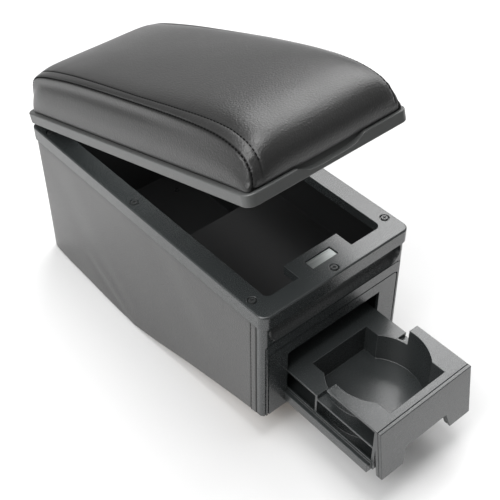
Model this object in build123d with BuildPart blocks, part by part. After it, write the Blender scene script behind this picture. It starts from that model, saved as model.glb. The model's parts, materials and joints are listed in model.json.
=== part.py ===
"""Car centre armrest: a leather-wrapped storage box with a hinged padded lid and a cup-holder drawer.

Millimetres, +Z up, +Y towards the hinge, -Y towards the drawer.
The origin is the centre of the mounting holes, on the surface that the armrest is screwed to.
The lid and the drawer are modelled shut, then set ajar and pulled out as they are shown.
"""
import os

from build123d import *

os.makedirs("parts", exist_ok=True)

# Pose that is shown
LID_OPEN = 17.3
DRAWER_OUT = 99.0

# Top frame
FRAME_WIDTH = 155.0
FRAME_LENGTH = 317.0
FRAME_TOP = 146.0
FRAME_SKIRT = 13.5
FRAME_PLATE = 3.0
FRAME_WALL = 2.5
FRAME_CORNER = 7.0
FRAME_EDGE = 1.6
SIDE_RAIL = 17.3
FRONT_RAIL = 16.5
REAR_RAIL = 24.0
MOUTH_CORNER = 5.0
LIP_DEPTH = 6.0
LIP_WALL = 1.8

# Lid catch
TAB_WIDTH = 56.0
TAB_DEPTH = 17.0
MAGNET_WIDTH = 26.0
MAGNET_DEPTH = 9.4
MAGNET_HEIGHT = 5.0
MAGNET_SUNK = 0.9
MAGNET_POCKET = 1.5
MAGNET_BEVEL = 0.45
POCKET_PLAY = 0.1

# Carcass boards and leather
SIDE_OVERHANG = 1.5
LEATHER = 1.4
GLUE_LINE = 0.1
BOARD = 9.0
BOTTOM_BOARD = 3.0
REAR_CORNER = 5.0
SKIRT_KINK_Y = 17.0
BOARD_FOOT = 2.0
LEATHER_FOOT = 0.6

# Front fascia
FASCIA_SETBACK = 2.0
FASCIA_BOTTOM = 29.0
FASCIA_WALL = 3.0
FASCIA_RETURN = 7.5
FASCIA_CORNER = 5.0
COVE_BOTTOM = 112.5
COVE_HEIGHT = 17.5
COVE_DEPTH = 6.0
COVE_MARGIN = 6.0
PANEL_MARGIN = 5.0
BEAD_SIDE = 2.6
BEAD_HEIGHT = 11.5
GROOVE_WIDTH = 1.2
GROOVE_DEPTH = 1.1
GROOVE_CORNER = 4.0

# Drawer
DRAWER_HALF = 50.0
DRAWER_TOP = 84.4
DRAWER_BOTTOM = 35.0
DRAWER_LENGTH = 142.0
DECK_TOP = 68.0
DRAWER_PLATE = 2.4
DRAWER_WALL = 2.0
FACE_THICKNESS = 3.0
FACE_LEAN = 6.8
FACE_EDGE = 0.8
FACE_GAP = 0.2
FACE_SKIN = 1.2
FACE_SCREW_PITCH = 78.0
NOTCH_TOP = 44.0
NOTCH_BOTTOM = 54.0
NOTCH_HEIGHT = 16.0
CUP_RADIUS = 41.0
CUP_FLOOR = 40.0
WELL_HALF = 30.0
FRONT_RIM = 9.6
RAISED_LENGTH = 56.0
POCKET_END = 65.5
POCKET_SILL = 46.5
POCKET_RIB = 62.0
POST_WIDTH = 2.5
REAR_POST = 26.0
RUNNER_WIDTH = 3.5
RUNNER_BOTTOM = 34.5
RUNNER_HEIGHT = 9.5
STOP_LENGTH = 4.0
STOP_HEIGHT = 6.0
STOP_RISE = 6.0
STOP_REACH = 2.4

# Drawer housing and window
SLIDE_GAP = 0.3
SIDE_PLAY = 0.5
HOUSING_WALL = 2.5
HOUSING_TOP = 98.0
WINDOW_GAP = 0.5
WINDOW_HEADROOM = 4.6
KEEPER = 2.2
HOUSING_SCREW_X = 30.0
HOUSING_SCREW_FRONT = 42.0
HOUSING_SCREW_REAR = 21.0

# Storage bin
BIN_WALL = 2.0
BIN_PLAY = 0.2
BIN_CORNER = 4.0
BIN_SCREW_X = 43.0
BIN_SCREW_INSET = 24.0

# Mounting rails
RAIL_SPACING = 80.0
RAIL_WIDTH = 24.0
RAIL_HEIGHT = 28.5
RAIL_LENGTH = 196.0
RAIL_SHEET = 1.6
RAIL_BEND = 2.4
MOUNT_HOLE = 2.75
MOUNT_PITCH = 160.0
RAIL_SCREW_PITCH = 80.0

# Lid
LID_SIDE_LEDGE = 0.5
LID_FRONT_LEDGE = 1.0
LID_GAP = 1.6
RIM_HEIGHT = 10.0
RIM_WALL = 2.5
RIM_PLATE = 3.5
RIM_CORNER = 8.0
RIM_EDGE = 1.2
SCOOP_WIDTH = 66.0
SCOOP_DEPTH = 6.0
SCOOP_TURN = 24.0
SCOOP_SHOULDER = 4.3
SCOOP_REACH = 5.0
SCOOP_WALL = 2.5
LINER = 3.0
REAR_BLOCK = 9.0
STRIKE_SUNK = 0.6
LINER_PLAY = 0.3
LINER_SCREW_X = 60.0
LINER_SCREW_INSET = 17.5
BUFFER_RADIUS = 4.0
BUFFER_CLEARANCE = 0.2
STRIKE_WIDTH = 30.0
STRIKE_DEPTH = 13.0
STRIKE_SHEET = 1.2

# Lid pad
PAD_INSET = 2.5
PAD_HEIGHT = 46.5
PAD_SEAM_DROP = 2.5
PAD_TOP_HALF = 60.0
PAD_SHOULDER = 7.0
PAD_REAR_HEIGHT = 36.5
PAD_REAR_RUN = 18.0
PAD_BROW_RUN = 75.0
PAD_BROW_DROP = 1.5
PAD_NOSE_HEIGHT = 37.0
PAD_NOSE_RUN = 23.0
COVER = 1.4
FOAM_PLAY = 0.1

# Hinge
HINGE_LENGTH = 110.0
HINGE_KNUCKLES = 5
HINGE_SHEET = 1.2
KNUCKLE_RADIUS = 3.0
PIN_RADIUS = 1.5
PIN_PLAY = 0.05
KNUCKLE_GAP = 0.3
BOX_LEAF = 10.0
LID_LEAF = 5.6
HINGE_SCREW_PITCH = 80.0
HINGE_BITE = 6.0
LEAF_STANDOFF = 0.2

# Self-tapping screws, one thread size throughout
SHANK = 1.5
SHANK_PLAY = 0.1
HEAD = 3.0
HEAD_HEIGHT = 1.8
HEAD_TAPER = 12.0
CROSS = 3.4
CROSS_WIDTH = 0.9
CROSS_DEPTH = 1.0
WELL_RADIUS = 3.9
WELL_DEPTH = 1.5
SCREW_INSET = 21.5
MID_SCREW_Y = 10.5
FRONT_SCREW_Y = 7.0
FRAME_SCREW_LENGTH = 14.0
SCREW_BOSS = 3.6
LINER_SCREW_LENGTH = 6.5

# Levels and lines that follow from the sizes above
FRAME_HALF = FRAME_WIDTH / 2
Y_FRONT = -FRAME_LENGTH / 2
Y_REAR = FRAME_LENGTH / 2
Z_PLATE = FRAME_TOP - FRAME_PLATE
Z_SKIRT = FRAME_TOP - FRAME_SKIRT
MOUTH_HALF = FRAME_HALF - SIDE_RAIL
Y_MOUTH = Y_FRONT + FRONT_RAIL
Y_MOUTH_REAR = Y_REAR - REAR_RAIL
LEATHER_HALF = FRAME_HALF - SIDE_OVERHANG
LEATHER_REAR = Y_REAR - SIDE_OVERHANG
BOARD_HALF = LEATHER_HALF - LEATHER - GLUE_LINE
BOARD_REAR = LEATHER_REAR - LEATHER - GLUE_LINE
INSIDE_HALF = BOARD_HALF - BOARD
Y_FASCIA = Y_FRONT + FASCIA_SETBACK
Y_SIDE = Y_FASCIA + FASCIA_RETURN
Y_INSIDE = Y_FASCIA + FASCIA_WALL
FASCIA_TOP = Z_SKIRT - SLIDE_GAP
Z_BOARD = RAIL_HEIGHT
Z_INSIDE = Z_BOARD + BOTTOM_BOARD
SCREW_X = BOARD_HALF - BOARD / 2
SCREW_HOLE = SHANK + SHANK_PLAY
FRAME_BITE = FRAME_SCREW_LENGTH - FRAME_PLATE + WELL_DEPTH + SHANK_PLAY
SIDE_SCREW_ROWS = (Y_FRONT + SCREW_INSET, MID_SCREW_Y, Y_REAR - SCREW_INSET)
FRAME_SCREWS = [(side * SCREW_X, y) for y in SIDE_SCREW_ROWS for side in (-1, 1)]
FRONT_SCREW = (0, Y_FRONT + FRONT_SCREW_Y)
LID_WIDTH = FRAME_WIDTH + 2 * LID_SIDE_LEDGE
LID_LENGTH = FRAME_LENGTH + LID_FRONT_LEDGE
Z_LID = FRAME_TOP + LID_GAP
Z_PAD = Z_LID + RIM_HEIGHT
Y_LID_REAR = Y_REAR
Y_LID_FRONT = Y_LID_REAR - LID_LENGTH
HINGE_Y = Y_REAR + KNUCKLE_RADIUS + LEAF_STANDOFF
HINGE_Z = FRAME_TOP + LID_GAP / 2
HINGE_AXIS = Axis((0, HINGE_Y, HINGE_Z), (1, 0, 0))
DRAWER_REAR = Y_FASCIA + DRAWER_LENGTH
CUP_Y = Y_FASCIA + FRONT_RIM + CUP_RADIUS
FACE_SLOPE = FACE_LEAN / (DRAWER_TOP - DRAWER_BOTTOM)
LOW = (Align.CENTER, Align.CENTER, Align.MIN)


def save(part, name):
    """Write one finished piece under its own name."""
    part.label = name
    export_step(part, f"parts/{name}.step")


def ajar(part):
    """Swing a lid piece from shut to the shown opening."""
    return part.rotate(HINGE_AXIS, -LID_OPEN)


def pulled_out(part):
    """Slide a drawer piece from shut to the shown place."""
    return part.moved(Location((0, -DRAWER_OUT, 0)))


def screws(places, length):
    """Pan-head self-tapping screws: each place is a plane whose origin is under the head, Z out of it."""
    with BuildPart() as group:
        for place in places:
            with BuildSketch(place):
                Circle(SHANK)
            extrude(amount=-length)
            with BuildSketch(place):
                Circle(HEAD)
            extrude(amount=HEAD_HEIGHT, taper=HEAD_TAPER)
            with BuildSketch(place.offset(HEAD_HEIGHT)):
                Rectangle(CROSS, CROSS_WIDTH)
                Rectangle(CROSS_WIDTH, CROSS)
            extrude(amount=-CROSS_DEPTH, mode=Mode.SUBTRACT)
    return group.part


def facing_up(points, z):
    """Screw places on a level face."""
    return [Plane(origin=(x, y, z)) for x, y in points]


def mouth(z, grow):
    """Plan of the bin's mouth in the top frame, round the catch tab."""
    with BuildSketch(Plane.XY.offset(z)) as plan:
        with Locations((0, (Y_MOUTH + Y_MOUTH_REAR) / 2)):
            RectangleRounded(2 * MOUTH_HALF, Y_MOUTH_REAR - Y_MOUTH, MOUTH_CORNER)
        with Locations((0, Y_MOUTH)):
            Rectangle(TAB_WIDTH, 2 * TAB_DEPTH, mode=Mode.SUBTRACT)
        if grow:
            offset(amount=grow, kind=Kind.INTERSECTION)
    return plan.sketch


def skirt_line(front_z, foot):
    """Side view of what is cut off below a side: a straight rise from the kink to the front."""
    with BuildSketch(Plane.YZ) as wedge:
        with BuildLine():
            Polyline(
                (Y_SIDE, front_z),
                (SKIRT_KINK_Y, foot),
                (SKIRT_KINK_Y, foot - front_z),
                (Y_SIDE - front_z, foot - front_z),
                (Y_SIDE - front_z, front_z),
                close=True,
            )
        make_face()
    return wedge.sketch


def stepped_box(half, front, step, rear, floor_front, floor_rear, top, corner):
    """Box with a shallow front part and a deep rear part, rounded at its outer upright edges."""
    with BuildPart() as box:
        with BuildSketch(Plane.YZ):
            with BuildLine():
                Polyline(
                    (front, floor_front),
                    (step, floor_front),
                    (step, floor_rear),
                    (rear, floor_rear),
                    (rear, top),
                    (front, top),
                    close=True,
                )
            make_face()
        extrude(amount=half, both=True)
        upright = box.edges().filter_by(Axis.Z).group_by(Axis.Y)
        fillet(upright[0] + upright[-1], corner)
    return box.part


def pad_form(inset, foot):
    """Crowned pad: its side view, its end view and its plan, cut to what they share."""
    rear = Y_LID_REAR - PAD_INSET - inset
    front = Y_LID_FRONT + PAD_INSET + inset
    half = LID_WIDTH / 2 - PAD_INSET - inset
    crown = Z_PAD + PAD_HEIGHT - inset
    with BuildPart() as pad:
        with BuildSketch(Plane.YZ):
            with BuildLine():
                heel = Line((rear, foot), (rear, Z_PAD + PAD_REAR_HEIGHT - PAD_REAR_RUN - inset))
                rear_bend = (rear - PAD_REAR_RUN, Z_PAD + PAD_REAR_HEIGHT - inset)
                bend = TangentArc(heel @ 1, rear_bend, tangent=heel % 1)
                brow = (front + PAD_BROW_RUN, crown - PAD_BROW_DROP)
                top = ThreePointArc(bend @ 1, ((rear + front) / 2, crown), brow)
                nose = (front + PAD_NOSE_RUN, Z_PAD + PAD_NOSE_HEIGHT - inset)
                slope_down = TangentArc(top @ 1, nose, tangent=top % 1)
                tip = TangentArc(slope_down @ 1, (front, foot), tangent=slope_down % 1)
                Line(tip @ 1, heel @ 0)
            make_face()
        extrude(amount=LID_WIDTH, both=True)
        with BuildSketch(Plane.XZ):
            with BuildLine():
                seam = PAD_TOP_HALF - inset
                side = Line((half, foot), (seam + PAD_SHOULDER, crown - PAD_SEAM_DROP - PAD_SHOULDER))
                shoulder = TangentArc(side @ 1, (seam, crown - PAD_SEAM_DROP), tangent=side % 1)
                crest = ThreePointArc(shoulder @ 1, (0, crown), (-seam, crown - PAD_SEAM_DROP))
                far = Line((-half, foot), (-seam - PAD_SHOULDER, crown - PAD_SEAM_DROP - PAD_SHOULDER))
                TangentArc(far @ 1, crest @ 1, tangent=far % 1)
                Line(far @ 0, side @ 0)
            make_face()
        extrude(amount=LID_LENGTH, both=True, mode=Mode.INTERSECT)
        with BuildSketch(Plane.XY.offset(foot)):
            with Locations((0, (rear + front) / 2)):
                RectangleRounded(2 * half, rear - front, RIM_CORNER)
        extrude(amount=2 * PAD_HEIGHT, mode=Mode.INTERSECT)
    return pad.part


def hinge_places(z):
    """Hinge screw places on the outer face of a leaf."""
    y = Y_REAR + HINGE_SHEET
    return [
        Plane(origin=(x, y, z), x_dir=(1, 0, 0), z_dir=(0, 1, 0))
        for x in (-HINGE_SCREW_PITCH / 2, HINGE_SCREW_PITCH / 2)
    ]


def hinge_leaf(first, edge, height, places):
    """Leaf with every other knuckle of the barrel; edge is the plate's near edge, height is signed."""
    knuckle = (HINGE_LENGTH - (HINGE_KNUCKLES - 1) * KNUCKLE_GAP) / HINGE_KNUCKLES
    with BuildPart() as leaf:
        with BuildSketch(Plane.XZ.offset(-Y_REAR)):
            with Locations((0, edge + height / 2)):
                Rectangle(HINGE_LENGTH, abs(height))
            for index in range(first, HINGE_KNUCKLES, 2):
                x = index * (knuckle + KNUCKLE_GAP) + (knuckle - HINGE_LENGTH) / 2
                with Locations((x, (HINGE_Z + edge) / 2)):
                    Rectangle(knuckle, abs(edge - HINGE_Z))
        extrude(amount=-HINGE_SHEET)
        for index in range(first, HINGE_KNUCKLES, 2):
            x = index * (knuckle + KNUCKLE_GAP) - HINGE_LENGTH / 2
            with BuildSketch(Plane(origin=(x, HINGE_Y, HINGE_Z), x_dir=(0, 1, 0), z_dir=(1, 0, 0))):
                Circle(KNUCKLE_RADIUS)
            extrude(amount=knuckle)
        with BuildSketch(Plane(origin=(0, HINGE_Y, HINGE_Z), x_dir=(0, 1, 0), z_dir=(1, 0, 0))):
            Circle(PIN_RADIUS + PIN_PLAY)
        extrude(amount=HINGE_LENGTH, both=True, mode=Mode.SUBTRACT)
        for place in places:
            with BuildSketch(place):
                Circle(SCREW_HOLE)
            extrude(amount=-HINGE_SHEET, mode=Mode.SUBTRACT)
    return leaf.part


box_leaf_edge = HINGE_Z - KNUCKLE_RADIUS - KNUCKLE_GAP
lid_leaf_edge = HINGE_Z + KNUCKLE_RADIUS + KNUCKLE_GAP
box_hinge_places = hinge_places(box_leaf_edge - BOX_LEAF / 2)
lid_hinge_places = hinge_places(lid_leaf_edge + LID_LEAF / 2)
box_hinge_length = HINGE_SHEET + SIDE_OVERHANG + LEATHER + GLUE_LINE + HINGE_BITE

# Top frame: a capping frame with an inner lip, a catch tab and screw wells
with BuildPart() as top_frame:
    with BuildSketch(Plane.XY.offset(Z_SKIRT)):
        RectangleRounded(FRAME_WIDTH, FRAME_LENGTH, FRAME_CORNER)
    extrude(amount=FRAME_SKIRT)
    fillet(top_frame.faces().sort_by(Axis.Z)[-1].edges(), FRAME_EDGE)
    with BuildSketch(Plane.XY.offset(Z_SKIRT)):
        RectangleRounded(
            FRAME_WIDTH - 2 * FRAME_WALL, FRAME_LENGTH - 2 * FRAME_WALL, FRAME_CORNER - FRAME_WALL
        )
    extrude(amount=FRAME_SKIRT - FRAME_PLATE, mode=Mode.SUBTRACT)
    extrude(mouth(Z_PLATE - LIP_DEPTH, LIP_WALL), amount=LIP_DEPTH)
    magnet_y = Y_MOUTH + MAGNET_DEPTH / 2 + POCKET_PLAY
    z_magnet = FRAME_TOP - MAGNET_SUNK - MAGNET_HEIGHT
    extrude(mouth(Z_PLATE - LIP_DEPTH, 0), amount=LIP_DEPTH + FRAME_PLATE, mode=Mode.SUBTRACT)
    with Locations((0, magnet_y, z_magnet - MAGNET_POCKET)):
        Box(
            MAGNET_WIDTH + 2 * MAGNET_POCKET,
            MAGNET_DEPTH + 2 * MAGNET_POCKET,
            Z_PLATE - z_magnet + MAGNET_POCKET,
            align=LOW,
        )
    with Locations((0, magnet_y, z_magnet)):
        Box(
            MAGNET_WIDTH + 2 * POCKET_PLAY,
            MAGNET_DEPTH + 2 * POCKET_PLAY,
            MAGNET_HEIGHT + FRAME_PLATE,
            align=LOW,
            mode=Mode.SUBTRACT,
        )
    with Locations([(x, y, FRAME_TOP) for x, y in FRAME_SCREWS + [FRONT_SCREW]]):
        CounterBoreHole(SCREW_HOLE, WELL_RADIUS, WELL_DEPTH, depth=FRAME_PLATE)
    for place in box_hinge_places:
        with BuildSketch(place):
            Circle(SCREW_HOLE)
        extrude(amount=-HINGE_SHEET - FRAME_WALL, mode=Mode.SUBTRACT)
save(top_frame.part, "top_frame")

with BuildPart() as catch_magnet:
    with Locations((0, magnet_y, z_magnet)):
        Box(MAGNET_WIDTH, MAGNET_DEPTH, MAGNET_HEIGHT, align=LOW)
    chamfer(catch_magnet.faces().sort_by(Axis.Z)[-1].edges(), MAGNET_BEVEL)
save(catch_magnet.part, "catch_magnet")

frame_screw_places = facing_up(FRAME_SCREWS + [FRONT_SCREW], FRAME_TOP - WELL_DEPTH)
save(screws(frame_screw_places, FRAME_SCREW_LENGTH), "frame_screws")

# Carcass boards, glued edge to face
for side, name in ((-1, "left_panel"), (1, "right_panel")):
    with BuildPart() as panel:
        with Locations((side * SCREW_X, (Y_SIDE + BOARD_REAR) / 2, BOARD_FOOT)):
            Box(BOARD, BOARD_REAR - Y_SIDE, Z_PLATE - BOARD_FOOT, align=LOW)
        extrude(skirt_line(FASCIA_BOTTOM, BOARD_FOOT), amount=FRAME_WIDTH, both=True, mode=Mode.SUBTRACT)
        rear_edge = panel.edges().filter_by(Axis.Z).group_by(Axis.Y)[-1].sort_by(Axis.X)
        fillet(rear_edge[0] if side < 0 else rear_edge[-1], REAR_CORNER - LEATHER - GLUE_LINE)
        with Locations([(x, y, Z_PLATE) for x, y in FRAME_SCREWS if x * side > 0]):
            Hole(SCREW_HOLE, FRAME_BITE)
    save(panel.part, name)

with BuildPart() as rear_panel:
    with Locations((0, BOARD_REAR - BOARD / 2, BOARD_FOOT)):
        Box(2 * INSIDE_HALF, BOARD, Z_PLATE - BOARD_FOOT, align=LOW)
    for place in box_hinge_places:
        with BuildSketch(place):
            Circle(SCREW_HOLE)
        extrude(amount=-box_hinge_length - SHANK_PLAY, mode=Mode.SUBTRACT)
save(rear_panel.part, "rear_panel")

# Screw rows on the bottom board: housing, bin and rails
housing_y = (Y_INSIDE + HOUSING_SCREW_FRONT, DRAWER_REAR - HOUSING_SCREW_REAR)
HOUSING_SCREWS = [(x, y) for x in (-HOUSING_SCREW_X, HOUSING_SCREW_X) for y in housing_y]
Y_HOUSING_REAR = DRAWER_REAR + HOUSING_WALL + SIDE_PLAY
bin_y = (Y_HOUSING_REAR + BIN_SCREW_INSET, Y_MOUTH_REAR - BIN_SCREW_INSET)
BIN_SCREWS = [(x, y) for x in (-BIN_SCREW_X, BIN_SCREW_X) for y in bin_y]
rail_y = (-RAIL_SCREW_PITCH / 2, RAIL_SCREW_PITCH / 2)
RAIL_SCREWS = [(x, y) for x in (-RAIL_SPACING / 2, RAIL_SPACING / 2) for y in rail_y]

with BuildPart() as bottom_board:
    with Locations((0, (Y_INSIDE + BOARD_REAR - BOARD) / 2, Z_BOARD)):
        Box(2 * INSIDE_HALF, BOARD_REAR - BOARD - Y_INSIDE, BOTTOM_BOARD, align=LOW)
    with Locations([(x, y, Z_INSIDE) for x, y in HOUSING_SCREWS + BIN_SCREWS + RAIL_SCREWS]):
        Hole(SCREW_HOLE, BOTTOM_BOARD)
save(bottom_board.part, "bottom_board")

# Mounting rails: folded channels, open towards the middle
for side, name in ((-1, "mount_rail_left"), (1, "mount_rail_right")):
    with BuildPart() as rail:
        with BuildSketch(Plane.XZ.offset(-RAIL_LENGTH / 2)):
            with BuildLine():
                inner = side * (RAIL_SPACING - RAIL_WIDTH) / 2
                outer = side * (RAIL_SPACING + RAIL_WIDTH) / 2
                FilletPolyline(
                    (inner, RAIL_SHEET / 2),
                    (outer - side * RAIL_SHEET / 2, RAIL_SHEET / 2),
                    (outer - side * RAIL_SHEET / 2, Z_BOARD - RAIL_SHEET / 2),
                    (inner, Z_BOARD - RAIL_SHEET / 2),
                    radius=RAIL_BEND,
                )
                offset(amount=RAIL_SHEET / 2, side=Side.BOTH)
            make_face()
        extrude(amount=RAIL_LENGTH)
        mount_x = side * RAIL_SPACING / 2
        with Locations((mount_x, -MOUNT_PITCH / 2, RAIL_SHEET), (mount_x, MOUNT_PITCH / 2, RAIL_SHEET)):
            Hole(MOUNT_HOLE, RAIL_SHEET)
        with Locations([(x, y, Z_BOARD) for x, y in RAIL_SCREWS if x * side > 0]):
            Hole(SCREW_HOLE, RAIL_SHEET)
    save(rail.part, name)

rail_screw_places = [
    Plane(origin=(x, y, Z_BOARD - RAIL_SHEET), x_dir=(1, 0, 0), z_dir=(0, 0, -1)) for x, y in RAIL_SCREWS
]
save(screws(rail_screw_places, RAIL_SHEET + BOTTOM_BOARD), "rail_screws")

# Leather round the left side, the rear and the right side
with BuildPart() as leather_wrap:
    with BuildSketch(Plane.XY.offset(LEATHER_FOOT)) as wrap_plan:
        with Locations((0, (Y_SIDE + LEATHER_REAR) / 2)):
            Rectangle(2 * LEATHER_HALF, LEATHER_REAR - Y_SIDE)
        fillet(wrap_plan.vertices().group_by(Axis.Y)[-1], REAR_CORNER)
    extrude(amount=Z_SKIRT - SLIDE_GAP - LEATHER_FOOT)
    with BuildSketch(Plane.XY.offset(LEATHER_FOOT)) as hollow_plan:
        with Locations((0, (Y_SIDE + LEATHER_REAR - LEATHER) / 2)):
            Rectangle(2 * (LEATHER_HALF - LEATHER), LEATHER_REAR - LEATHER - Y_SIDE)
        fillet(hollow_plan.vertices().group_by(Axis.Y)[-1], REAR_CORNER - LEATHER)
    extrude(amount=FRAME_TOP, mode=Mode.SUBTRACT)
    extrude(
        skirt_line(FASCIA_BOTTOM - LEATHER, LEATHER_FOOT), amount=FRAME_WIDTH, both=True, mode=Mode.SUBTRACT
    )
save(leather_wrap.part, "leather_wrap")

# Front fascia: corner posts, cove under the top frame, grooved panel, drawer window
window_half = DRAWER_HALF + WINDOW_GAP
window_bottom = RUNNER_BOTTOM - SLIDE_GAP
window_top = DRAWER_TOP + WINDOW_HEADROOM
cove_top = COVE_BOTTOM + COVE_HEIGHT
with BuildPart() as front_fascia:
    with BuildSketch(Plane.XY.offset(FASCIA_BOTTOM)) as fascia_plan:
        with Locations((0, (Y_FASCIA + Y_SIDE) / 2)):
            Rectangle(2 * LEATHER_HALF, FASCIA_RETURN)
        fillet(fascia_plan.vertices().group_by(Axis.Y)[0], FASCIA_CORNER)
        with Locations((0, (Y_INSIDE + Y_SIDE) / 2)):
            Rectangle(2 * INSIDE_HALF, Y_SIDE - Y_INSIDE, mode=Mode.SUBTRACT)
    extrude(amount=FASCIA_TOP - FASCIA_BOTTOM)
    with Locations((0, (Y_FASCIA + Y_SIDE) / 2, COVE_BOTTOM - FASCIA_WALL)):
        Box(2 * INSIDE_HALF, FASCIA_RETURN, FASCIA_TOP - COVE_BOTTOM + FASCIA_WALL, align=LOW)
    with Locations((*FRONT_SCREW, cove_top)):
        Cylinder(SCREW_BOSS, Z_PLATE - cove_top, align=LOW)
    swing = COVE_DEPTH + FASCIA_WALL
    cove_end = LEATHER_HALF - COVE_MARGIN - swing
    with BuildSketch(Plane.YZ.offset(-cove_end)) as cove:
        with BuildLine():
            foot_line = Line((Y_FASCIA - FASCIA_WALL, COVE_BOTTOM), (Y_FASCIA, COVE_BOTTOM))
            hollow = TangentArc(foot_line @ 1, (Y_FASCIA + COVE_DEPTH, cove_top), tangent=(2, 1))
            Polyline(hollow @ 1, (Y_FASCIA - FASCIA_WALL, cove_top), foot_line @ 0)
        make_face()
    extrude(amount=2 * cove_end, mode=Mode.SUBTRACT)
    for end in (-1, 1):
        with BuildSketch(Plane.YZ.offset(end * cove_end)):
            add(cove.sketch_local)
        revolve(
            axis=Axis((end * cove_end, Y_FASCIA - FASCIA_WALL, 0), (0, 0, end)),
            revolution_arc=-90,
            mode=Mode.SUBTRACT,
        )
    panel_half = LEATHER_HALF - PANEL_MARGIN
    for half, top in ((panel_half + BEAD_SIDE, COVE_BOTTOM), (panel_half, COVE_BOTTOM - BEAD_HEIGHT)):
        height = top - FASCIA_BOTTOM + 2 * GROOVE_CORNER
        with BuildSketch(Plane.XZ.offset(-Y_FASCIA)):
            with Locations((0, top - height / 2)):
                RectangleRounded(2 * half, height, GROOVE_CORNER)
                RectangleRounded(
                    2 * (half - GROOVE_WIDTH),
                    height - 2 * GROOVE_WIDTH,
                    GROOVE_CORNER - GROOVE_WIDTH,
                    mode=Mode.SUBTRACT,
                )
        extrude(amount=-GROOVE_DEPTH, mode=Mode.SUBTRACT)
    with BuildSketch(Plane.XZ.offset(-Y_FASCIA)):
        with Locations((0, (window_top + window_bottom) / 2)):
            Rectangle(2 * window_half, window_top - window_bottom)
        with Locations((0, window_bottom)):
            Rectangle(
                2 * (DRAWER_HALF + RUNNER_WIDTH + SIDE_PLAY),
                RUNNER_HEIGHT + 2 * SLIDE_GAP,
                align=(Align.CENTER, Align.MIN),
            )
    extrude(amount=-FASCIA_WALL, mode=Mode.SUBTRACT)
    with Locations((*FRONT_SCREW, Z_PLATE)):
        Hole(SCREW_HOLE, FRAME_BITE)
save(front_fascia.part, "front_fascia")

# Drawer housing: a box open at the front, with keepers over the runners and stops near its mouth
channel_half = DRAWER_HALF + RUNNER_WIDTH + SIDE_PLAY
runner_top = RUNNER_BOTTOM + RUNNER_HEIGHT
keeper_bottom = runner_top + SLIDE_GAP
stop_bottom = keeper_bottom + KEEPER + STOP_RISE
y_stop = DRAWER_REAR - STOP_LENGTH - DRAWER_OUT - SLIDE_GAP
with BuildPart() as drawer_housing:
    depth = Y_HOUSING_REAR - SIDE_PLAY - Y_INSIDE
    with Locations((0, Y_INSIDE + depth / 2, Z_INSIDE)):
        Box(2 * (channel_half + HOUSING_WALL), depth, HOUSING_TOP - Z_INSIDE, align=LOW)
    with Locations((0, Y_INSIDE + (depth - HOUSING_WALL) / 2, window_bottom)):
        Box(
            2 * channel_half,
            depth - HOUSING_WALL,
            HOUSING_TOP - HOUSING_WALL - window_bottom,
            align=LOW,
            mode=Mode.SUBTRACT,
        )
    for side in (-1, 1):
        keeper_width = channel_half - DRAWER_HALF - SIDE_PLAY
        with Locations((side * (channel_half - keeper_width / 2), Y_INSIDE + depth / 2, keeper_bottom)):
            Box(keeper_width, depth, KEEPER, align=LOW)
        with Locations((side * (channel_half - STOP_REACH / 2), y_stop - STOP_LENGTH / 2, stop_bottom)):
            Box(STOP_REACH, STOP_LENGTH, STOP_HEIGHT, align=LOW)
    with Locations([(x, y, window_bottom) for x, y in HOUSING_SCREWS]):
        Hole(SCREW_HOLE, window_bottom - Z_INSIDE)
save(drawer_housing.part, "drawer_housing")
save(screws(facing_up(HOUSING_SCREWS, window_bottom), window_bottom - Z_BOARD), "housing_screws")

# Storage bin: shallow over the drawer housing, deep behind it
bin_half = MOUTH_HALF + LIP_WALL + BIN_PLAY
bin_front = Y_MOUTH - LIP_WALL - BIN_PLAY
bin_rear = Y_MOUTH_REAR + LIP_WALL + BIN_PLAY
with BuildPart() as storage_bin:
    add(
        stepped_box(
            bin_half + BIN_WALL,
            bin_front - BIN_WALL,
            Y_HOUSING_REAR,
            bin_rear + BIN_WALL,
            HOUSING_TOP,
            Z_INSIDE,
            Z_PLATE,
            BIN_CORNER + BIN_WALL,
        )
    )
    add(
        stepped_box(
            bin_half,
            bin_front,
            Y_HOUSING_REAR + BIN_WALL,
            bin_rear,
            HOUSING_TOP + BIN_WALL,
            Z_INSIDE + BIN_WALL,
            FRAME_TOP,
            BIN_CORNER,
        ),
        mode=Mode.SUBTRACT,
    )
    with Locations([(x, y, Z_INSIDE + BIN_WALL) for x, y in BIN_SCREWS]):
        Hole(SCREW_HOLE, BIN_WALL)
save(storage_bin.part, "storage_bin")
save(screws(facing_up(BIN_SCREWS, Z_INSIDE + BIN_WALL), BIN_WALL + BOTTOM_BOARD), "bin_screws")


def leaning(front, thickness, bottom, top):
    """Side view of a wall that leans with the drawer's face; front is where its face meets DRAWER_TOP."""
    with BuildSketch(Plane.YZ) as wall:
        with BuildLine():
            Polyline(
                (front - FACE_SLOPE * (DRAWER_TOP - top), top),
                (front - FACE_SLOPE * (DRAWER_TOP - bottom), bottom),
                (front - FACE_SLOPE * (DRAWER_TOP - bottom) + thickness, bottom),
                (front - FACE_SLOPE * (DRAWER_TOP - top) + thickness, top),
                close=True,
            )
        make_face()
    return wall.sketch


def finger_notch():
    """Front view of the notch under the drawer's face."""
    with BuildSketch(Plane.XZ.offset(-Y_FASCIA + FACE_LEAN)) as notch:
        with BuildLine():
            Polyline(
                (-NOTCH_BOTTOM / 2, DRAWER_BOTTOM),
                (-NOTCH_TOP / 2, DRAWER_BOTTOM + NOTCH_HEIGHT),
                (NOTCH_TOP / 2, DRAWER_BOTTOM + NOTCH_HEIGHT),
                (NOTCH_BOTTOM / 2, DRAWER_BOTTOM),
                close=True,
            )
        make_face()
    return notch.sketch


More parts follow.
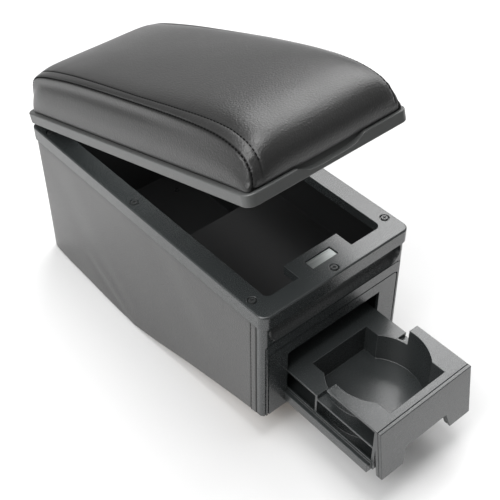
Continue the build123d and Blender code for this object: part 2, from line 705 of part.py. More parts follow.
def well_plan(z, grow):
    """Plan of the cup recess: a round cup crossed by a square well."""
    with BuildSketch(Plane.XY.offset(z)) as plan:
        with Locations((0, CUP_Y)):
            Circle(CUP_RADIUS + grow)
            Rectangle(2 * (WELL_HALF + grow), 2 * (CUP_RADIUS + grow))
    return plan.sketch


# Drawer: leaning face plate, tray with the cup recess, open side pockets and runners
y_wall = Y_FASCIA + FACE_THICKNESS + FACE_GAP
y_raised = Y_FASCIA + RAISED_LENGTH
y_pocket = Y_FASCIA + POCKET_END
z_floor = CUP_FLOOR - DRAWER_WALL
z_face_screw = (POCKET_RIB + DRAWER_WALL + DRAWER_TOP - DRAWER_PLATE) / 2
y_face_screw = y_wall + FACE_THICKNESS - FACE_SLOPE * (DRAWER_TOP - z_face_screw)
face_screw_places = [
    Plane(origin=(x, y_face_screw, z_face_screw), x_dir=(1, 0, 0), z_dir=(0, 1, -FACE_SLOPE))
    for x in (-FACE_SCREW_PITCH / 2, FACE_SCREW_PITCH / 2)
]
face_screw_length = 2 * FACE_THICKNESS + FACE_GAP - FACE_SKIN

with BuildPart() as drawer_face:
    extrude(leaning(Y_FASCIA, FACE_THICKNESS, DRAWER_BOTTOM, DRAWER_TOP), amount=DRAWER_HALF, both=True)
    extrude(finger_notch(), amount=-FACE_LEAN - FACE_THICKNESS, mode=Mode.SUBTRACT)
    fillet(drawer_face.faces().sort_by(Axis.Y)[0].edges().group_by(Axis.Z)[-1], FACE_EDGE)
    for place in face_screw_places:
        with BuildSketch(place):
            Circle(SCREW_HOLE)
        extrude(amount=-face_screw_length - SHANK_PLAY, mode=Mode.SUBTRACT)
save(pulled_out(drawer_face.part), "drawer_face")
save(pulled_out(screws(face_screw_places, face_screw_length)), "face_screws")

with BuildPart() as drawer_tray:
    extrude(leaning(y_wall, FACE_THICKNESS, DRAWER_BOTTOM, DRAWER_TOP), amount=DRAWER_HALF, both=True)
    with BuildSketch(Plane.YZ.offset(DRAWER_HALF - DRAWER_WALL)):
        with BuildLine():
            Polyline(
                (y_wall, z_floor),
                (DRAWER_REAR, z_floor),
                (DRAWER_REAR, DECK_TOP),
                (y_raised, DECK_TOP),
                (y_raised, DRAWER_TOP),
                (y_wall, DRAWER_TOP),
                close=True,
            )
        make_face()
        pocket_front = y_wall + FACE_THICKNESS
        with Locations(((pocket_front + y_pocket) / 2, POCKET_SILL)):
            Rectangle(
                y_pocket - pocket_front,
                DRAWER_TOP - DRAWER_PLATE - POCKET_SILL,
                align=(Align.CENTER, Align.MIN),
                mode=Mode.SUBTRACT,
            )
        rear_bay = (y_pocket + POST_WIDTH, DRAWER_REAR - REAR_POST)
        with Locations((sum(rear_bay) / 2, POCKET_SILL)):
            Rectangle(
                rear_bay[1] - rear_bay[0],
                DECK_TOP - DRAWER_PLATE - POCKET_SILL,
                align=(Align.CENTER, Align.MIN),
                mode=Mode.SUBTRACT,
            )
    extrude(amount=DRAWER_WALL)
    mirror(about=Plane.YZ)
    with Locations((0, (y_wall + y_raised) / 2, DRAWER_TOP - DRAWER_PLATE)):
        Box(2 * DRAWER_HALF, y_raised - y_wall, DRAWER_PLATE, align=LOW)
    with Locations((0, (y_pocket + DRAWER_REAR) / 2, DECK_TOP - DRAWER_PLATE)):
        Box(2 * DRAWER_HALF, DRAWER_REAR - y_pocket, DRAWER_PLATE, align=LOW)
    with Locations((0, (y_wall + DRAWER_REAR) / 2, z_floor)):
        Box(2 * DRAWER_HALF, DRAWER_REAR - y_wall, DRAWER_WALL, align=LOW)
    with Locations((0, DRAWER_REAR - DRAWER_WALL / 2, z_floor)):
        Box(2 * DRAWER_HALF, DRAWER_WALL, DECK_TOP - z_floor, align=LOW)
    with Locations((0, (y_wall + y_pocket) / 2, POCKET_RIB)):
        Box(2 * DRAWER_HALF, y_pocket - y_wall, DRAWER_WALL, align=LOW)
    extrude(well_plan(z_floor, DRAWER_WALL), amount=DECK_TOP - z_floor)
    with BuildSketch(Plane.XY.offset(DECK_TOP)):
        add(well_plan(DECK_TOP, DRAWER_WALL))
        with Locations((0, y_raised)):
            Rectangle(
                4 * DRAWER_HALF, DRAWER_LENGTH, align=(Align.CENTER, Align.MIN), mode=Mode.SUBTRACT
            )
    extrude(amount=DRAWER_TOP - DECK_TOP)
    extrude(well_plan(CUP_FLOOR, 0), amount=DRAWER_TOP, mode=Mode.SUBTRACT)
    extrude(finger_notch(), amount=-FACE_LEAN - FRONT_RIM + DRAWER_WALL, mode=Mode.SUBTRACT)
    for place in face_screw_places:
        with BuildSketch(place):
            Circle(SCREW_HOLE)
        extrude(amount=-FACE_THICKNESS - FACE_GAP, mode=Mode.SUBTRACT)
    for side in (-1, 1):
        runner_front = y_wall + FACE_THICKNESS
        with Locations((side * DRAWER_HALF, (runner_front + DRAWER_REAR) / 2, RUNNER_BOTTOM)):
            Box(2 * RUNNER_WIDTH, DRAWER_REAR - runner_front, RUNNER_HEIGHT, align=LOW)
        nub_x = DRAWER_HALF + (channel_half - DRAWER_HALF - SLIDE_GAP) / 2
        nub_width = channel_half - DRAWER_HALF - SLIDE_GAP
        with Locations((side * nub_x, DRAWER_REAR - STOP_LENGTH / 2, stop_bottom)):
            Box(nub_width, STOP_LENGTH, STOP_HEIGHT, align=LOW)
save(pulled_out(drawer_tray.part), "drawer_tray")

# Hinge at the rear: a butt hinge on the faces of the top frame and the lid rim
save(hinge_leaf(0, box_leaf_edge, -BOX_LEAF, box_hinge_places), "hinge_box_leaf")
save(screws(box_hinge_places, box_hinge_length), "hinge_box_screws")
with BuildPart() as hinge_pin:
    with BuildSketch(Plane(origin=(0, HINGE_Y, HINGE_Z), x_dir=(0, 1, 0), z_dir=(1, 0, 0))):
        Circle(PIN_RADIUS)
    extrude(amount=HINGE_LENGTH / 2 + PIN_RADIUS, both=True)
    chamfer(hinge_pin.edges().filter_by(GeomType.CIRCLE), PIN_RADIUS / 4)
save(hinge_pin.part, "hinge_pin")
save(ajar(hinge_leaf(1, lid_leaf_edge, LID_LEAF, lid_hinge_places)), "hinge_lid_leaf")
save(ajar(screws(lid_hinge_places, HINGE_SHEET + HINGE_BITE)), "hinge_lid_screws")

# Lid rim: a tray open below, with a finger scoop in its front edge and bosses for the liner's screws
liner_half = LID_WIDTH / 2 - RIM_WALL
liner_front = Y_LID_FRONT + SCOOP_REACH + SCOOP_WALL
liner_rear = Y_LID_REAR - REAR_BLOCK
liner_y = (liner_front + liner_rear) / 2
liner_length = liner_rear - liner_front
liner_corner = RIM_CORNER - RIM_WALL
lid_y = (Y_LID_FRONT + Y_LID_REAR) / 2
liner_rows = (liner_front + LINER_SCREW_INSET, liner_y, liner_rear - LINER_SCREW_INSET)
LINER_SCREWS = [(x, y) for x in (-LINER_SCREW_X, LINER_SCREW_X) for y in liner_rows]
with BuildPart() as lid_rim:
    with BuildSketch(Plane.XY.offset(Z_LID)):
        with Locations((0, lid_y)):
            RectangleRounded(LID_WIDTH, LID_LENGTH, RIM_CORNER)
    extrude(amount=RIM_HEIGHT)
    flats = lid_rim.faces().sort_by(Axis.Z)
    fillet(flats[0].edges() + flats[-1].edges(), RIM_EDGE)
    with BuildSketch(Plane.XY.offset(Z_LID)):
        with Locations((0, liner_y)):
            RectangleRounded(2 * liner_half, liner_length, liner_corner)
    extrude(amount=RIM_HEIGHT - RIM_PLATE, mode=Mode.SUBTRACT)
    with Locations([(x, y, Z_LID + LINER) for x, y in LINER_SCREWS]):
        Cylinder(SCREW_BOSS, RIM_HEIGHT - RIM_PLATE - LINER, align=LOW)
    with Locations([(x, y, Z_LID + LINER) for x, y in LINER_SCREWS]):
        Cylinder(
            SCREW_HOLE, LINER_SCREW_LENGTH + HEAD_HEIGHT - LINER + SHANK_PLAY, align=LOW, mode=Mode.SUBTRACT
        )
    with BuildSketch(Plane.XZ.offset(-Y_LID_FRONT)):
        with BuildLine():
            scoop = Spline(
                (-SCOOP_WIDTH / 2, Z_PAD),
                (-SCOOP_TURN, Z_PAD - SCOOP_SHOULDER),
                (0, Z_PAD - SCOOP_DEPTH),
                (SCOOP_TURN, Z_PAD - SCOOP_SHOULDER),
                (SCOOP_WIDTH / 2, Z_PAD),
                tangents=[(2, -1), (2, 1)],
            )
            Line(scoop @ 1, scoop @ 0)
        make_face()
    extrude(amount=-SCOOP_REACH, mode=Mode.SUBTRACT)
    for place in lid_hinge_places:
        with BuildSketch(place):
            Circle(SCREW_HOLE)
        extrude(amount=-HINGE_SHEET - HINGE_BITE - SHANK_PLAY, mode=Mode.SUBTRACT)
save(ajar(lid_rim.part), "lid_rim")

# Liner panel under the lid, with its screws, the strike plate and the rubber buffers
buffer_rows = [(near + far) / 2 for near, far in zip(SIDE_SCREW_ROWS, SIDE_SCREW_ROWS[1:])]
with BuildPart() as lid_liner:
    with BuildSketch(Plane.XY.offset(Z_LID)):
        with Locations((0, liner_y)):
            RectangleRounded(
                2 * (liner_half - LINER_PLAY), liner_length - 2 * LINER_PLAY, liner_corner - LINER_PLAY
            )
    extrude(amount=LINER)
    with Locations([Plane(origin=(x, y, Z_LID), z_dir=(0, 0, -1)).location for x, y in LINER_SCREWS]):
        CounterBoreHole(SCREW_HOLE, WELL_RADIUS, HEAD_HEIGHT, depth=LINER)
    with Locations((0, magnet_y, Z_LID)):
        Box(
            STRIKE_WIDTH + 2 * POCKET_PLAY,
            STRIKE_DEPTH + 2 * POCKET_PLAY,
            STRIKE_SUNK,
            align=LOW,
            mode=Mode.SUBTRACT,
        )
save(ajar(lid_liner.part), "lid_liner")

liner_screw_places = [
    Plane(origin=(x, y, Z_LID + HEAD_HEIGHT), x_dir=(1, 0, 0), z_dir=(0, 0, -1)) for x, y in LINER_SCREWS
]
save(ajar(screws(liner_screw_places, LINER_SCREW_LENGTH)), "liner_screws")

with BuildPart() as lid_strike:
    with Locations((0, magnet_y, Z_LID + STRIKE_SUNK - STRIKE_SHEET)):
        Box(STRIKE_WIDTH, STRIKE_DEPTH, STRIKE_SHEET, align=LOW)
save(ajar(lid_strike.part), "lid_strike")

with BuildPart() as lid_buffers:
    with Locations([(x, y, Z_LID) for x in (-SCREW_X, SCREW_X) for y in buffer_rows]):
        Cylinder(
            BUFFER_RADIUS, LID_GAP - BUFFER_CLEARANCE, align=(Align.CENTER, Align.CENTER, Align.MAX)
        )
save(ajar(lid_buffers.part), "lid_buffers")

# Padded top: foam core under a sewn leather cover
with BuildPart() as lid_cover:
    add(pad_form(0, Z_PAD))
    add(pad_form(COVER, Z_PAD), mode=Mode.SUBTRACT)
save(ajar(lid_cover.part), "lid_cover")

save(ajar(pad_form(COVER + FOAM_PLAY, Z_PAD)), "lid_foam")
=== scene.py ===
"""Looks of a car centre armrest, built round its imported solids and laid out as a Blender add-on.

Metres, in the frame of the solids: +Z up, +Y towards the lid's hinge, -Y towards the drawer.
"""
import json
import math

import bmesh
import bpy
import numpy as np
from mathutils import Matrix, Vector
from mathutils.bvhtree import BVHTree

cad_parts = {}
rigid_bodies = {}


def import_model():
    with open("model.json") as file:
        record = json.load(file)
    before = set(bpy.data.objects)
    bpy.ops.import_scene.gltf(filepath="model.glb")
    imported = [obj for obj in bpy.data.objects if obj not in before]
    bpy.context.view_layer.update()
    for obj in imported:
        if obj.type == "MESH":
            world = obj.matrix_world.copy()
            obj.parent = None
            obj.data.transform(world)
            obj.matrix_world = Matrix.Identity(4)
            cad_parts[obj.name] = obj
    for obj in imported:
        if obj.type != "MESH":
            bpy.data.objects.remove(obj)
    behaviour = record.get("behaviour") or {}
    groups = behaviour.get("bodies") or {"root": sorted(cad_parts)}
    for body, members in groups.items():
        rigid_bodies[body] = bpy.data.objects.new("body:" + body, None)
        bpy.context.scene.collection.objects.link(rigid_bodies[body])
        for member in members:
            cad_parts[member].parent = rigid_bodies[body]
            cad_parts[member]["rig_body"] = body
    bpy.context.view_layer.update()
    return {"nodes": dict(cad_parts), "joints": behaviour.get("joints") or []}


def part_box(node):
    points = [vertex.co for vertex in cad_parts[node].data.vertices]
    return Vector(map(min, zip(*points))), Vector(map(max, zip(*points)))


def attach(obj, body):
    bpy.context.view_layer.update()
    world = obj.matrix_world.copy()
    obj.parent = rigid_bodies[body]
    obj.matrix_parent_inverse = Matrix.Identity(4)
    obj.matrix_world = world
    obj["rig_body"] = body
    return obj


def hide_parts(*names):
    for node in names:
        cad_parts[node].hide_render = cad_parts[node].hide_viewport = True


bl_info = {
    "name": "Car centre armrest looks",
    "version": (1, 0, 0),
    "blender": (4, 5, 0),
    "location": "View3D > Sidebar > Armrest",
    "description": "Builds the cushion, leather, moulded plastic and studio of a car centre armrest",
    "category": "Object",
}

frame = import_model()

MM = 0.001
LID_JOINT = next(joint for joint in frame["joints"] if joint["name"] == "lid_hinge")
HINGE = Vector(LID_JOINT["pos_m"])
# The hinge opens about -X from the lid's place at rest, and its range begins with the lid shut
AJAR = (
    Matrix.Translation(HINGE)
    @ Matrix.Rotation(math.radians(LID_JOINT["range_deg"][0]), 4, "X")
    @ Matrix.Translation(-HINGE)
)
SHUT = AJAR.inverted()


def shut_box(node):
    """Lowest and highest corner of a lid node with the lid shut."""
    points = np.array([SHUT @ v.co for v in frame["nodes"][node].data.vertices])
    return Vector(points.min(0)), Vector(points.max(0))


RIM_LOW, RIM_HIGH = shut_box("lid_rim")
WRAP_LOW, WRAP_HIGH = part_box("leather_wrap")


def length(name, description, default):
    """A size that a user may change."""
    return bpy.props.FloatProperty(
        name=name, description=description, default=default, unit="LENGTH", precision=4
    )


def tone(name, description, default):
    """A colour that a user may change, as linear red, green and blue."""
    return bpy.props.FloatVectorProperty(
        name=name, description=description, default=default, subtype="COLOR", size=3, min=0, max=1
    )


def share(name, description, default):
    """A number from 0 to 1 that a user may change."""
    return bpy.props.FloatProperty(
        name=name, description=description, default=default, min=0, max=1, subtype="FACTOR"
    )


class ArmrestCushion(bpy.types.PropertyGroup):
    """Sizes of the padded lid top and of its seams."""

    strip: length("Topstitch inset", "Across from the seam to the topstitch", 0.0067)
    shoulder: length("Shoulder", "How far the topstitch stands above the seam", 0.0038)
    crown: length("Crown", "How far the middle of the top panel stands above the topstitch", 0.0044)
    inset: length("Inset", "How far the pad stands in from the edge of the rim", 0.003)
    swell: length("Swell", "Most that the stuffing may push the cover out", 0.0018)
    seam_depth: length("Seam depth", "Depth of the seam between the panels", 0.0014)
    stitch_depth: length("Stitch depth", "Depth of the channel under the topstitch", 0.0005)
    valley: length("Valley depth", "Depth of the fold along the side panels", 0.0014)
    fill: share("Fill", "How tight the pad is stuffed", 0.85)


class ArmrestLeather(bpy.types.PropertyGroup):
    """Sizes of the leather on the sides of the box, and the colours of all leather."""

    flare: length("Flare", "How far the skirt stands out at the kink of its lower edge", 0.0058)
    stitch_inset: length("Stitch inset", "From the front edge of the leather to its stitch line", 0.007)
    thickness: length("Thickness", "Thickness of the leather", 0.0013)
    colour: tone("Lid leather", "Colour of the leather on the lid", (0.017, 0.017, 0.0168))
    # The box's leather is the lid's leather, painted lighter for the light that falls on the sides
    painted_light_side_colour: tone("Side leather", "Colour of the leather on the box", (0.042, 0.042, 0.0412))
    thread: tone("Thread", "Colour of the sewing thread", (0.004, 0.004, 0.004))


class ArmrestPlastic(bpy.types.PropertyGroup):
    """Edge roundings and colours of the moulded plastic."""

    edge: length("Edge", "Rounding of the moulded edges", 0.0005)
    broad_edge: length("Broad edge", "Rounding of the outer upper edges of the frame and the rim", 0.0014)
    colour: tone("Plastic", "Colour of the visible moulded plastic", (0.023, 0.0258, 0.0262))
    # The rim is the same plastic, painted lighter for the light that falls on its side band
    painted_light_rim_colour: tone("Rim", "Colour of the lid's rim", (0.058, 0.06, 0.059))
    # The bin's own matte black plastic, painted darker still for the shade inside the bin and the drawer
    # housing
    bin_colour_with_painted_shade: tone("Bin", "Colour of the storage bin", (0.0075, 0.0077, 0.0079))


class ArmrestStage(bpy.types.PropertyGroup):
    """Camera and light."""

    focal: bpy.props.FloatProperty(
        name="Focal length",
        description="Lens of the camera, on a 36 mm sensor",
        default=72.63,
        unit="CAMERA",
    )
    glow: share("Glow", "Even light from all round", 0.18)


class Wire:
    """A shader socket that takes part in sums: arithmetic on it adds Math nodes."""

    def __init__(self, finish, socket):
        self.finish = finish
        self.socket = socket

    def math(self, operation, first, second=0.0, clamp=False):
        settings = {"operation": operation, "use_clamp": clamp}
        return self.finish.node("ShaderNodeMath", settings, {0: first, 1: second})

    def __add__(self, other):
        return self.math("ADD", self, other)

    def __radd__(self, other):
        return self.math("ADD", other, self)

    def __sub__(self, other):
        return self.math("SUBTRACT", self, other)

    def __rsub__(self, other):
        return self.math("SUBTRACT", other, self)

    def __mul__(self, other):
        return self.math("MULTIPLY", self, other)

    def held(self):
        """The same value, kept between 0 and 1."""
        return self.math("ADD", self, 0.0, clamp=True)


class Finish:
    """A node material under construction."""

    def __init__(self, name):
        self.material = bpy.data.materials.new(name)
        self.material.use_nodes = True
        self.tree = self.material.node_tree
        self.tree.nodes.clear()
        self.place = self.node("ShaderNodeTexCoord", {}, {}, "Object")

    def node(self, kind, settings, sockets, out=0):
        """Adds one node: its settings first, then the values or links of its sockets."""
        made = self.tree.nodes.new(kind)
        for key, value in settings.items():
            setattr(made, key, value)
        for key, value in sockets.items():
            if isinstance(value, Wire):
                self.tree.links.new(value.socket, made.inputs[key])
            else:
                made.inputs[key].default_value = value
        return Wire(self, made.outputs[out])

    def noise(self, scale, detail=2.0, vector=None):
        sockets = {"Vector": vector or self.place, "Scale": scale, "Detail": detail}
        return self.node("ShaderNodeTexNoise", {}, sockets)

    def cells(self, scale, feature="F1"):
        sockets = {"Vector": self.place, "Scale": scale}
        return self.node("ShaderNodeTexVoronoi", {"feature": feature}, sockets, "Distance")

    def stretched(self, scale):
        """Object coordinates stretched along the axes, for brushed and grained patterns."""
        return self.node("ShaderNodeMapping", {}, {"Vector": self.place, "Scale": scale})

    def mixed(self, factor, first, second):
        """A colour between two colours."""
        settings = {"data_type": "RGBA"}
        return self.node("ShaderNodeMix", settings, {0: factor, 6: first, 7: second}, 2)

    def bump(self, height, strength, distance):
        sockets = {"Height": height, "Strength": strength, "Distance": distance}
        return self.node("ShaderNodeBump", {}, sockets)

    def principled(self, **sockets):
        """A Principled shader, its sockets named with underscores."""
        named = {key.replace("_", " "): value for key, value in sockets.items()}
        return self.node("ShaderNodeBsdfPrincipled", {}, named)

    def shaded(self, **sockets):
        """Ends the material in one Principled shader and returns it."""
        return self.ended(self.principled(**sockets))

    def ended(self, shader):
        """Links a shader to the material's output."""
        output = self.tree.nodes.new("ShaderNodeOutputMaterial")
        self.tree.links.new(shader.socket, output.inputs["Surface"])
        return self.material


def rgba(colour, gain=1.0):
    """A colour property as the four numbers of a colour socket."""
    return (*(min(1.0, part * gain) for part in colour), 1.0)


def leather_finish(name, colour):
    """Pebbled black leather, with painted shade in its seams and along its edges: a dark dull shader mixed
    in.
    """
    f = Finish(name)
    pebble = f.cells(850.0, "SMOOTH_F1") * 1.4
    crack = f.cells(430.0, "DISTANCE_TO_EDGE")
    soft = f.noise(26.0, 3.0)
    seam = f.node("ShaderNodeAttribute", {"attribute_name": "seam_shade"}, {}, "Fac")
    height = pebble * -0.6 + (crack * 3.0).held() * 0.4 + f.noise(2400.0) * 0.15
    tinted = f.mixed(soft, rgba(colour, 0.88), rgba(colour, 1.12))
    grain = f.bump(height, 0.65, 0.00024)
    hide = f.principled(
        Base_Color=f.mixed((1.0 - (crack * 6.0).held()) * 0.25, tinted, rgba(colour, 0.1)),
        Roughness=(0.3 + soft * 0.08 + pebble * 0.06).held(),
        Normal=grain,
        Specular_IOR_Level=0.5,
        Sheen_Weight=0.05,
        Sheen_Roughness=0.45,
    )
    # Painted shade: a dark, dull shader that the seam_shade attribute mixes in
    crease = f.principled(
        Base_Color=rgba(colour, 0.3), Roughness=0.9, Normal=grain, Specular_IOR_Level=0.05
    )
    return f.ended(f.node("ShaderNodeMixShader", {}, {0: seam.held(), 1: hide, 2: crease}))


def plastic_finish(name, colour, rough=0.26, grain=0.45, gloss=0.62):
    """Moulded plastic with a fine spark-eroded grain."""
    f = Finish(name)
    grit = f.noise(1500.0, 3.0)
    cloud = f.noise(14.0, 2.0)
    return f.shaded(
        Base_Color=f.mixed(cloud, rgba(colour, 0.85), rgba(colour, 1.15)),
        Roughness=(rough - 0.05 + cloud * 0.06 + grit * 0.06).held(),
        Normal=f.bump(grit + f.cells(1100.0) * 0.5 + f.noise(620.0, 1.0) * 0.8, grain, 0.00011),
        Specular_IOR_Level=gloss,
    )


def brushed_finish(name, colour, stretch, rough):
    """Metal with streaks along one axis."""
    f = Finish(name)
    streak = f.noise(1.0, 4.0, f.stretched(stretch))
    return f.shaded(
        Base_Color=f.mixed(streak, rgba(colour, 0.5), rgba(colour, 1.5)),
        Metallic=1.0,
        Roughness=(rough + streak * 0.15).held(),
        Normal=f.bump(streak, 0.15, 0.00005),
    )


def board_finish():
    """Pressed fibre board."""
    f = Finish("fibre_board")
    fibre = f.noise(1.0, 5.0, f.stretched((900.0, 260.0, 500.0)))
    return f.shaded(
        Base_Color=f.mixed(fibre, (0.24, 0.165, 0.1, 1), (0.42, 0.31, 0.2, 1)),
        Roughness=0.8,
        Normal=f.bump(fibre, 0.3, 0.0002),
    )


def thread_finish(colour):
    """Twisted black sewing thread."""
    f = Finish("sewing_thread")
    twist = f.noise(3200.0, 1.0)
    return f.shaded(
        Base_Color=f.mixed(twist, rgba(colour, 0.6), rgba(colour, 1.3)),
        Roughness=0.8,
        Normal=f.bump(twist, 0.4, 0.0001),
        Specular_IOR_Level=0.1,
    )


def rubber_finish():
    """Soft black rubber."""
    f = Finish("buffer_rubber")
    dust = f.noise(300.0, 3.0)
    return f.shaded(
        Base_Color=f.mixed(dust, (0.012, 0.012, 0.012, 1), (0.03, 0.03, 0.03, 1)),
        Roughness=(0.7 + dust * 0.15).held(),
    )


def wear_finishes(*pairs):
    """Puts materials on carried-over nodes."""
    for finish, nodes in pairs:
        for node in nodes:
            obj = frame["nodes"][node]
            obj.data.materials.clear()
            obj.data.materials.append(finish)


def new_piece(name, mesh, finish):
    """A mesh object at the origin with one material."""
    piece = bpy.data.objects.new(name, mesh)
    bpy.context.scene.collection.objects.link(piece)
    mesh.materials.clear()
    mesh.materials.append(finish)
    return piece


def baked(piece):
    """Turns a piece's modifiers into plain mesh."""
    depsgraph = bpy.context.evaluated_depsgraph_get()
    mesh = bpy.data.meshes.new_from_object(piece.evaluated_get(depsgraph), depsgraph=depsgraph)
    old = piece.data
    piece.modifiers.clear()
    piece.data = mesh
    bpy.data.meshes.remove(old)
    mesh.name = piece.name
    return piece


# Rounding of moulded edges: what counts as one point, as one face and as a corner
ONE_POINT = 2e-6
ONE_FACE = math.radians(0.6)
CORNER_FROM, CORNER_TO = math.radians(38), math.radians(125)
# Share of the rounding on the edges that aren't broad, steps of a rounding, and how its shading is evened out
FINE_EDGE = 0.35
EDGE_STEPS = 3
SHARP_FROM = math.radians(35)
FACE_WEIGHT = 90
# How near the sides and the top of a box its outer upper edges lie
OUTER_SIDE, OUTER_TOP = 2.5 * MM, 0.2 * MM


def rounded_edges(mesh, broad):
    """Merges flat faces and weighs the edges to round: broad ones fully, and knife edges not at all."""
    work = bmesh.new()
    work.from_mesh(mesh)
    bmesh.ops.remove_doubles(work, verts=work.verts, dist=ONE_POINT)
    bmesh.ops.dissolve_limit(work, angle_limit=ONE_FACE, verts=work.verts, edges=work.edges)
    weight = work.edges.layers.float.new("bevel_weight_edge")
    for line in work.edges:
        if CORNER_FROM < line.calc_face_angle(0) < CORNER_TO:
            middle = (line.verts[0].co + line.verts[1].co) / 2
            line[weight] = 1.0 if broad is None or broad(middle) else FINE_EDGE
    work.to_mesh(mesh)
    work.free()
    if "custom_normal" in mesh.attributes:
        mesh.attributes.remove(mesh.attributes["custom_normal"])


def moulded_copy(node, edge, finish, broad=None):
    """A copy of a moulded node with its sharp edges rounded."""
    source = frame["nodes"][node]
    mesh = source.data.copy()
    rounded_edges(mesh, broad)
    surface = BVHTree.FromPolygons(
        [v.co for v in source.data.vertices], [p.vertices for p in source.data.polygons]
    )
    piece = new_piece(f"{node}_moulding", mesh, finish)
    bevel = piece.modifiers.new("edge", "BEVEL")
    bevel.width, bevel.segments = edge, EDGE_STEPS
    bevel.limit_method = "WEIGHT"
    bevel.use_clamp_overlap = False
    baked(piece)
    # A corner that the rounding throws off goes back to the solid
    for vertex in piece.data.vertices:
        spot, _, _, gap = surface.find_nearest(vertex.co)
        if gap > edge / 2:
            vertex.co = spot
    piece.data.shade_smooth()
    piece.data.set_sharp_from_angle(angle=SHARP_FROM)
    even = piece.modifiers.new("even", "WEIGHTED_NORMAL")
    even.keep_sharp = True
    even.weight = FACE_WEIGHT
    baked(piece)
    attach(piece, source["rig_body"])
    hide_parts(node)
    return piece


def outer_top(low, high, turn=Matrix()):
    """A test for the outer upper edges of a box, seen after a turn."""

    def outer(point):
        p = turn @ point
        near_side = min(p.x - low.x, high.x - p.x, p.y - low.y, high.y - p.y) < OUTER_SIDE
        return near_side and p.z > high.z - OUTER_TOP

    return outer


PATH_SAMPLES = 4000


def smooth_path(points, spacing):
    """Even points along a smooth curve through the given points, ends included."""
    p = np.array(points, float)
    knots = np.concatenate([[0.0], np.cumsum(np.linalg.norm(np.diff(p, axis=0), axis=1) ** 0.5)])
    slopes = np.gradient(p, knots, axis=0)
    fine = np.linspace(0, knots[-1], PATH_SAMPLES)
    i = np.clip(np.searchsorted(knots, fine) - 1, 0, len(p) - 2)
    h = (knots[i + 1] - knots[i])[:, None]
    t = ((fine - knots[i]) / h[:, 0])[:, None]
    dense = (
        (2 * t**3 - 3 * t**2 + 1) * p[i]
        + (t**3 - 2 * t**2 + t) * h * slopes[i]
        + (-2 * t**3 + 3 * t**2) * p[i + 1]
        + (t**3 - t**2) * h * slopes[i + 1]
    )
    run = np.concatenate([[0.0], np.cumsum(np.linalg.norm(np.diff(dense, axis=0), axis=1))])
    count = max(2, int(round(run[-1] / spacing)) + 1)
    even = np.linspace(0, run[-1], count)
    return np.stack([np.interp(even, run, dense[:, k]) for k in range(p.shape[1])], axis=1)


def hump(x, centre, width):
    """A bell curve."""
    return np.exp(-(((x - centre) / width) ** 2))


def ease(low, high, x):
    """A smooth step from 0 at low to 1 at high."""
    t = np.clip((x - low) / (high - low), 0, 1)
    return t * t * (3 - 2 * t)


def stitch_tree():
    """Geometry nodes that lay stitches along a path of edges."""
    tree = bpy.data.node_groups.new("stitch_row", "GeometryNodeTree")
    sockets = {}
    for name, kind in (
        ("Path", "NodeSocketGeometry"),
        ("Pitch", "NodeSocketFloat"),
        ("Stitch size", "NodeSocketVector"),
        ("Thread", "NodeSocketMaterial"),
    ):
        sockets[name] = tree.interface.new_socket(name=name, in_out="INPUT", socket_type=kind)
    tree.interface.new_socket(name="Stitches", in_out="OUTPUT", socket_type="NodeSocketGeometry")

    def add(kind, **settings):
        node = tree.nodes.new(kind)
        for key, value in settings.items():
            setattr(node, key, value)
        return node

    given = add("NodeGroupInput")
    path = add("GeometryNodeMeshToCurve")
    even = add("GeometryNodeResampleCurve", mode="LENGTH")
    bead = add("GeometryNodeMeshUVSphere")
    bead.inputs["Segments"].default_value = 8
    bead.inputs["Rings"].default_value = 6
    bead.inputs["Radius"].default_value = 1.0
    stretch = add("GeometryNodeTransform")
    tangent = add("GeometryNodeInputTangent")
    turn = add("FunctionNodeAlignRotationToVector", axis="X")
    row = add("GeometryNodeInstanceOnPoints")
    solid = add("GeometryNodeRealizeInstances")
    smooth = add("GeometryNodeSetShadeSmooth")
    worn = add("GeometryNodeSetMaterial")
    result = add("NodeGroupOutput")
    for source, output, target, entry in (
        (given, "Path", path, "Mesh"),
        (path, "Curve", even, "Curve"),
        (given, "Pitch", even, "Length"),
        (bead, "Mesh", stretch, "Geometry"),
        (given, "Stitch size", stretch, "Scale"),
        (tangent, "Tangent", turn, "Vector"),
        (even, "Curve", row, "Points"),
        (stretch, "Geometry", row, "Instance"),
        (turn, "Rotation", row, "Rotation"),
        (row, "Instances", solid, "Geometry"),
        (solid, "Geometry", smooth, "Geometry"),
        (smooth, "Geometry", worn, "Geometry"),
        (given, "Thread", worn, "Material"),
        (worn, "Geometry", result, "Stitches"),
    ):
        tree.links.new(source.outputs[output], target.inputs[entry])
    return tree, {name: socket.identifier for name, socket in sockets.items()}


def sewn(name, paths, pitch, size, finish, body):
    """Rows of stitches along paths, as one plain mesh that rides on a body."""
    mesh = bpy.data.meshes.new(name)
    points, edges = [], []
    for path in paths:
        edges += [(len(points) + k, len(points) + k + 1) for k in range(len(path) - 1)]
        points += [tuple(point) for point in path]
    mesh.from_pydata(points, edges, [])
    piece = new_piece(name, mesh, finish)
    tree, ids = stitch_tree()
    rows = piece.modifiers.new("stitches", "NODES")
    rows.node_group = tree
    rows[ids["Pitch"]] = pitch
    rows[ids["Stitch size"]] = size
    rows[ids["Thread"]] = finish
    baked(piece)
    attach(piece, body)
    return piece


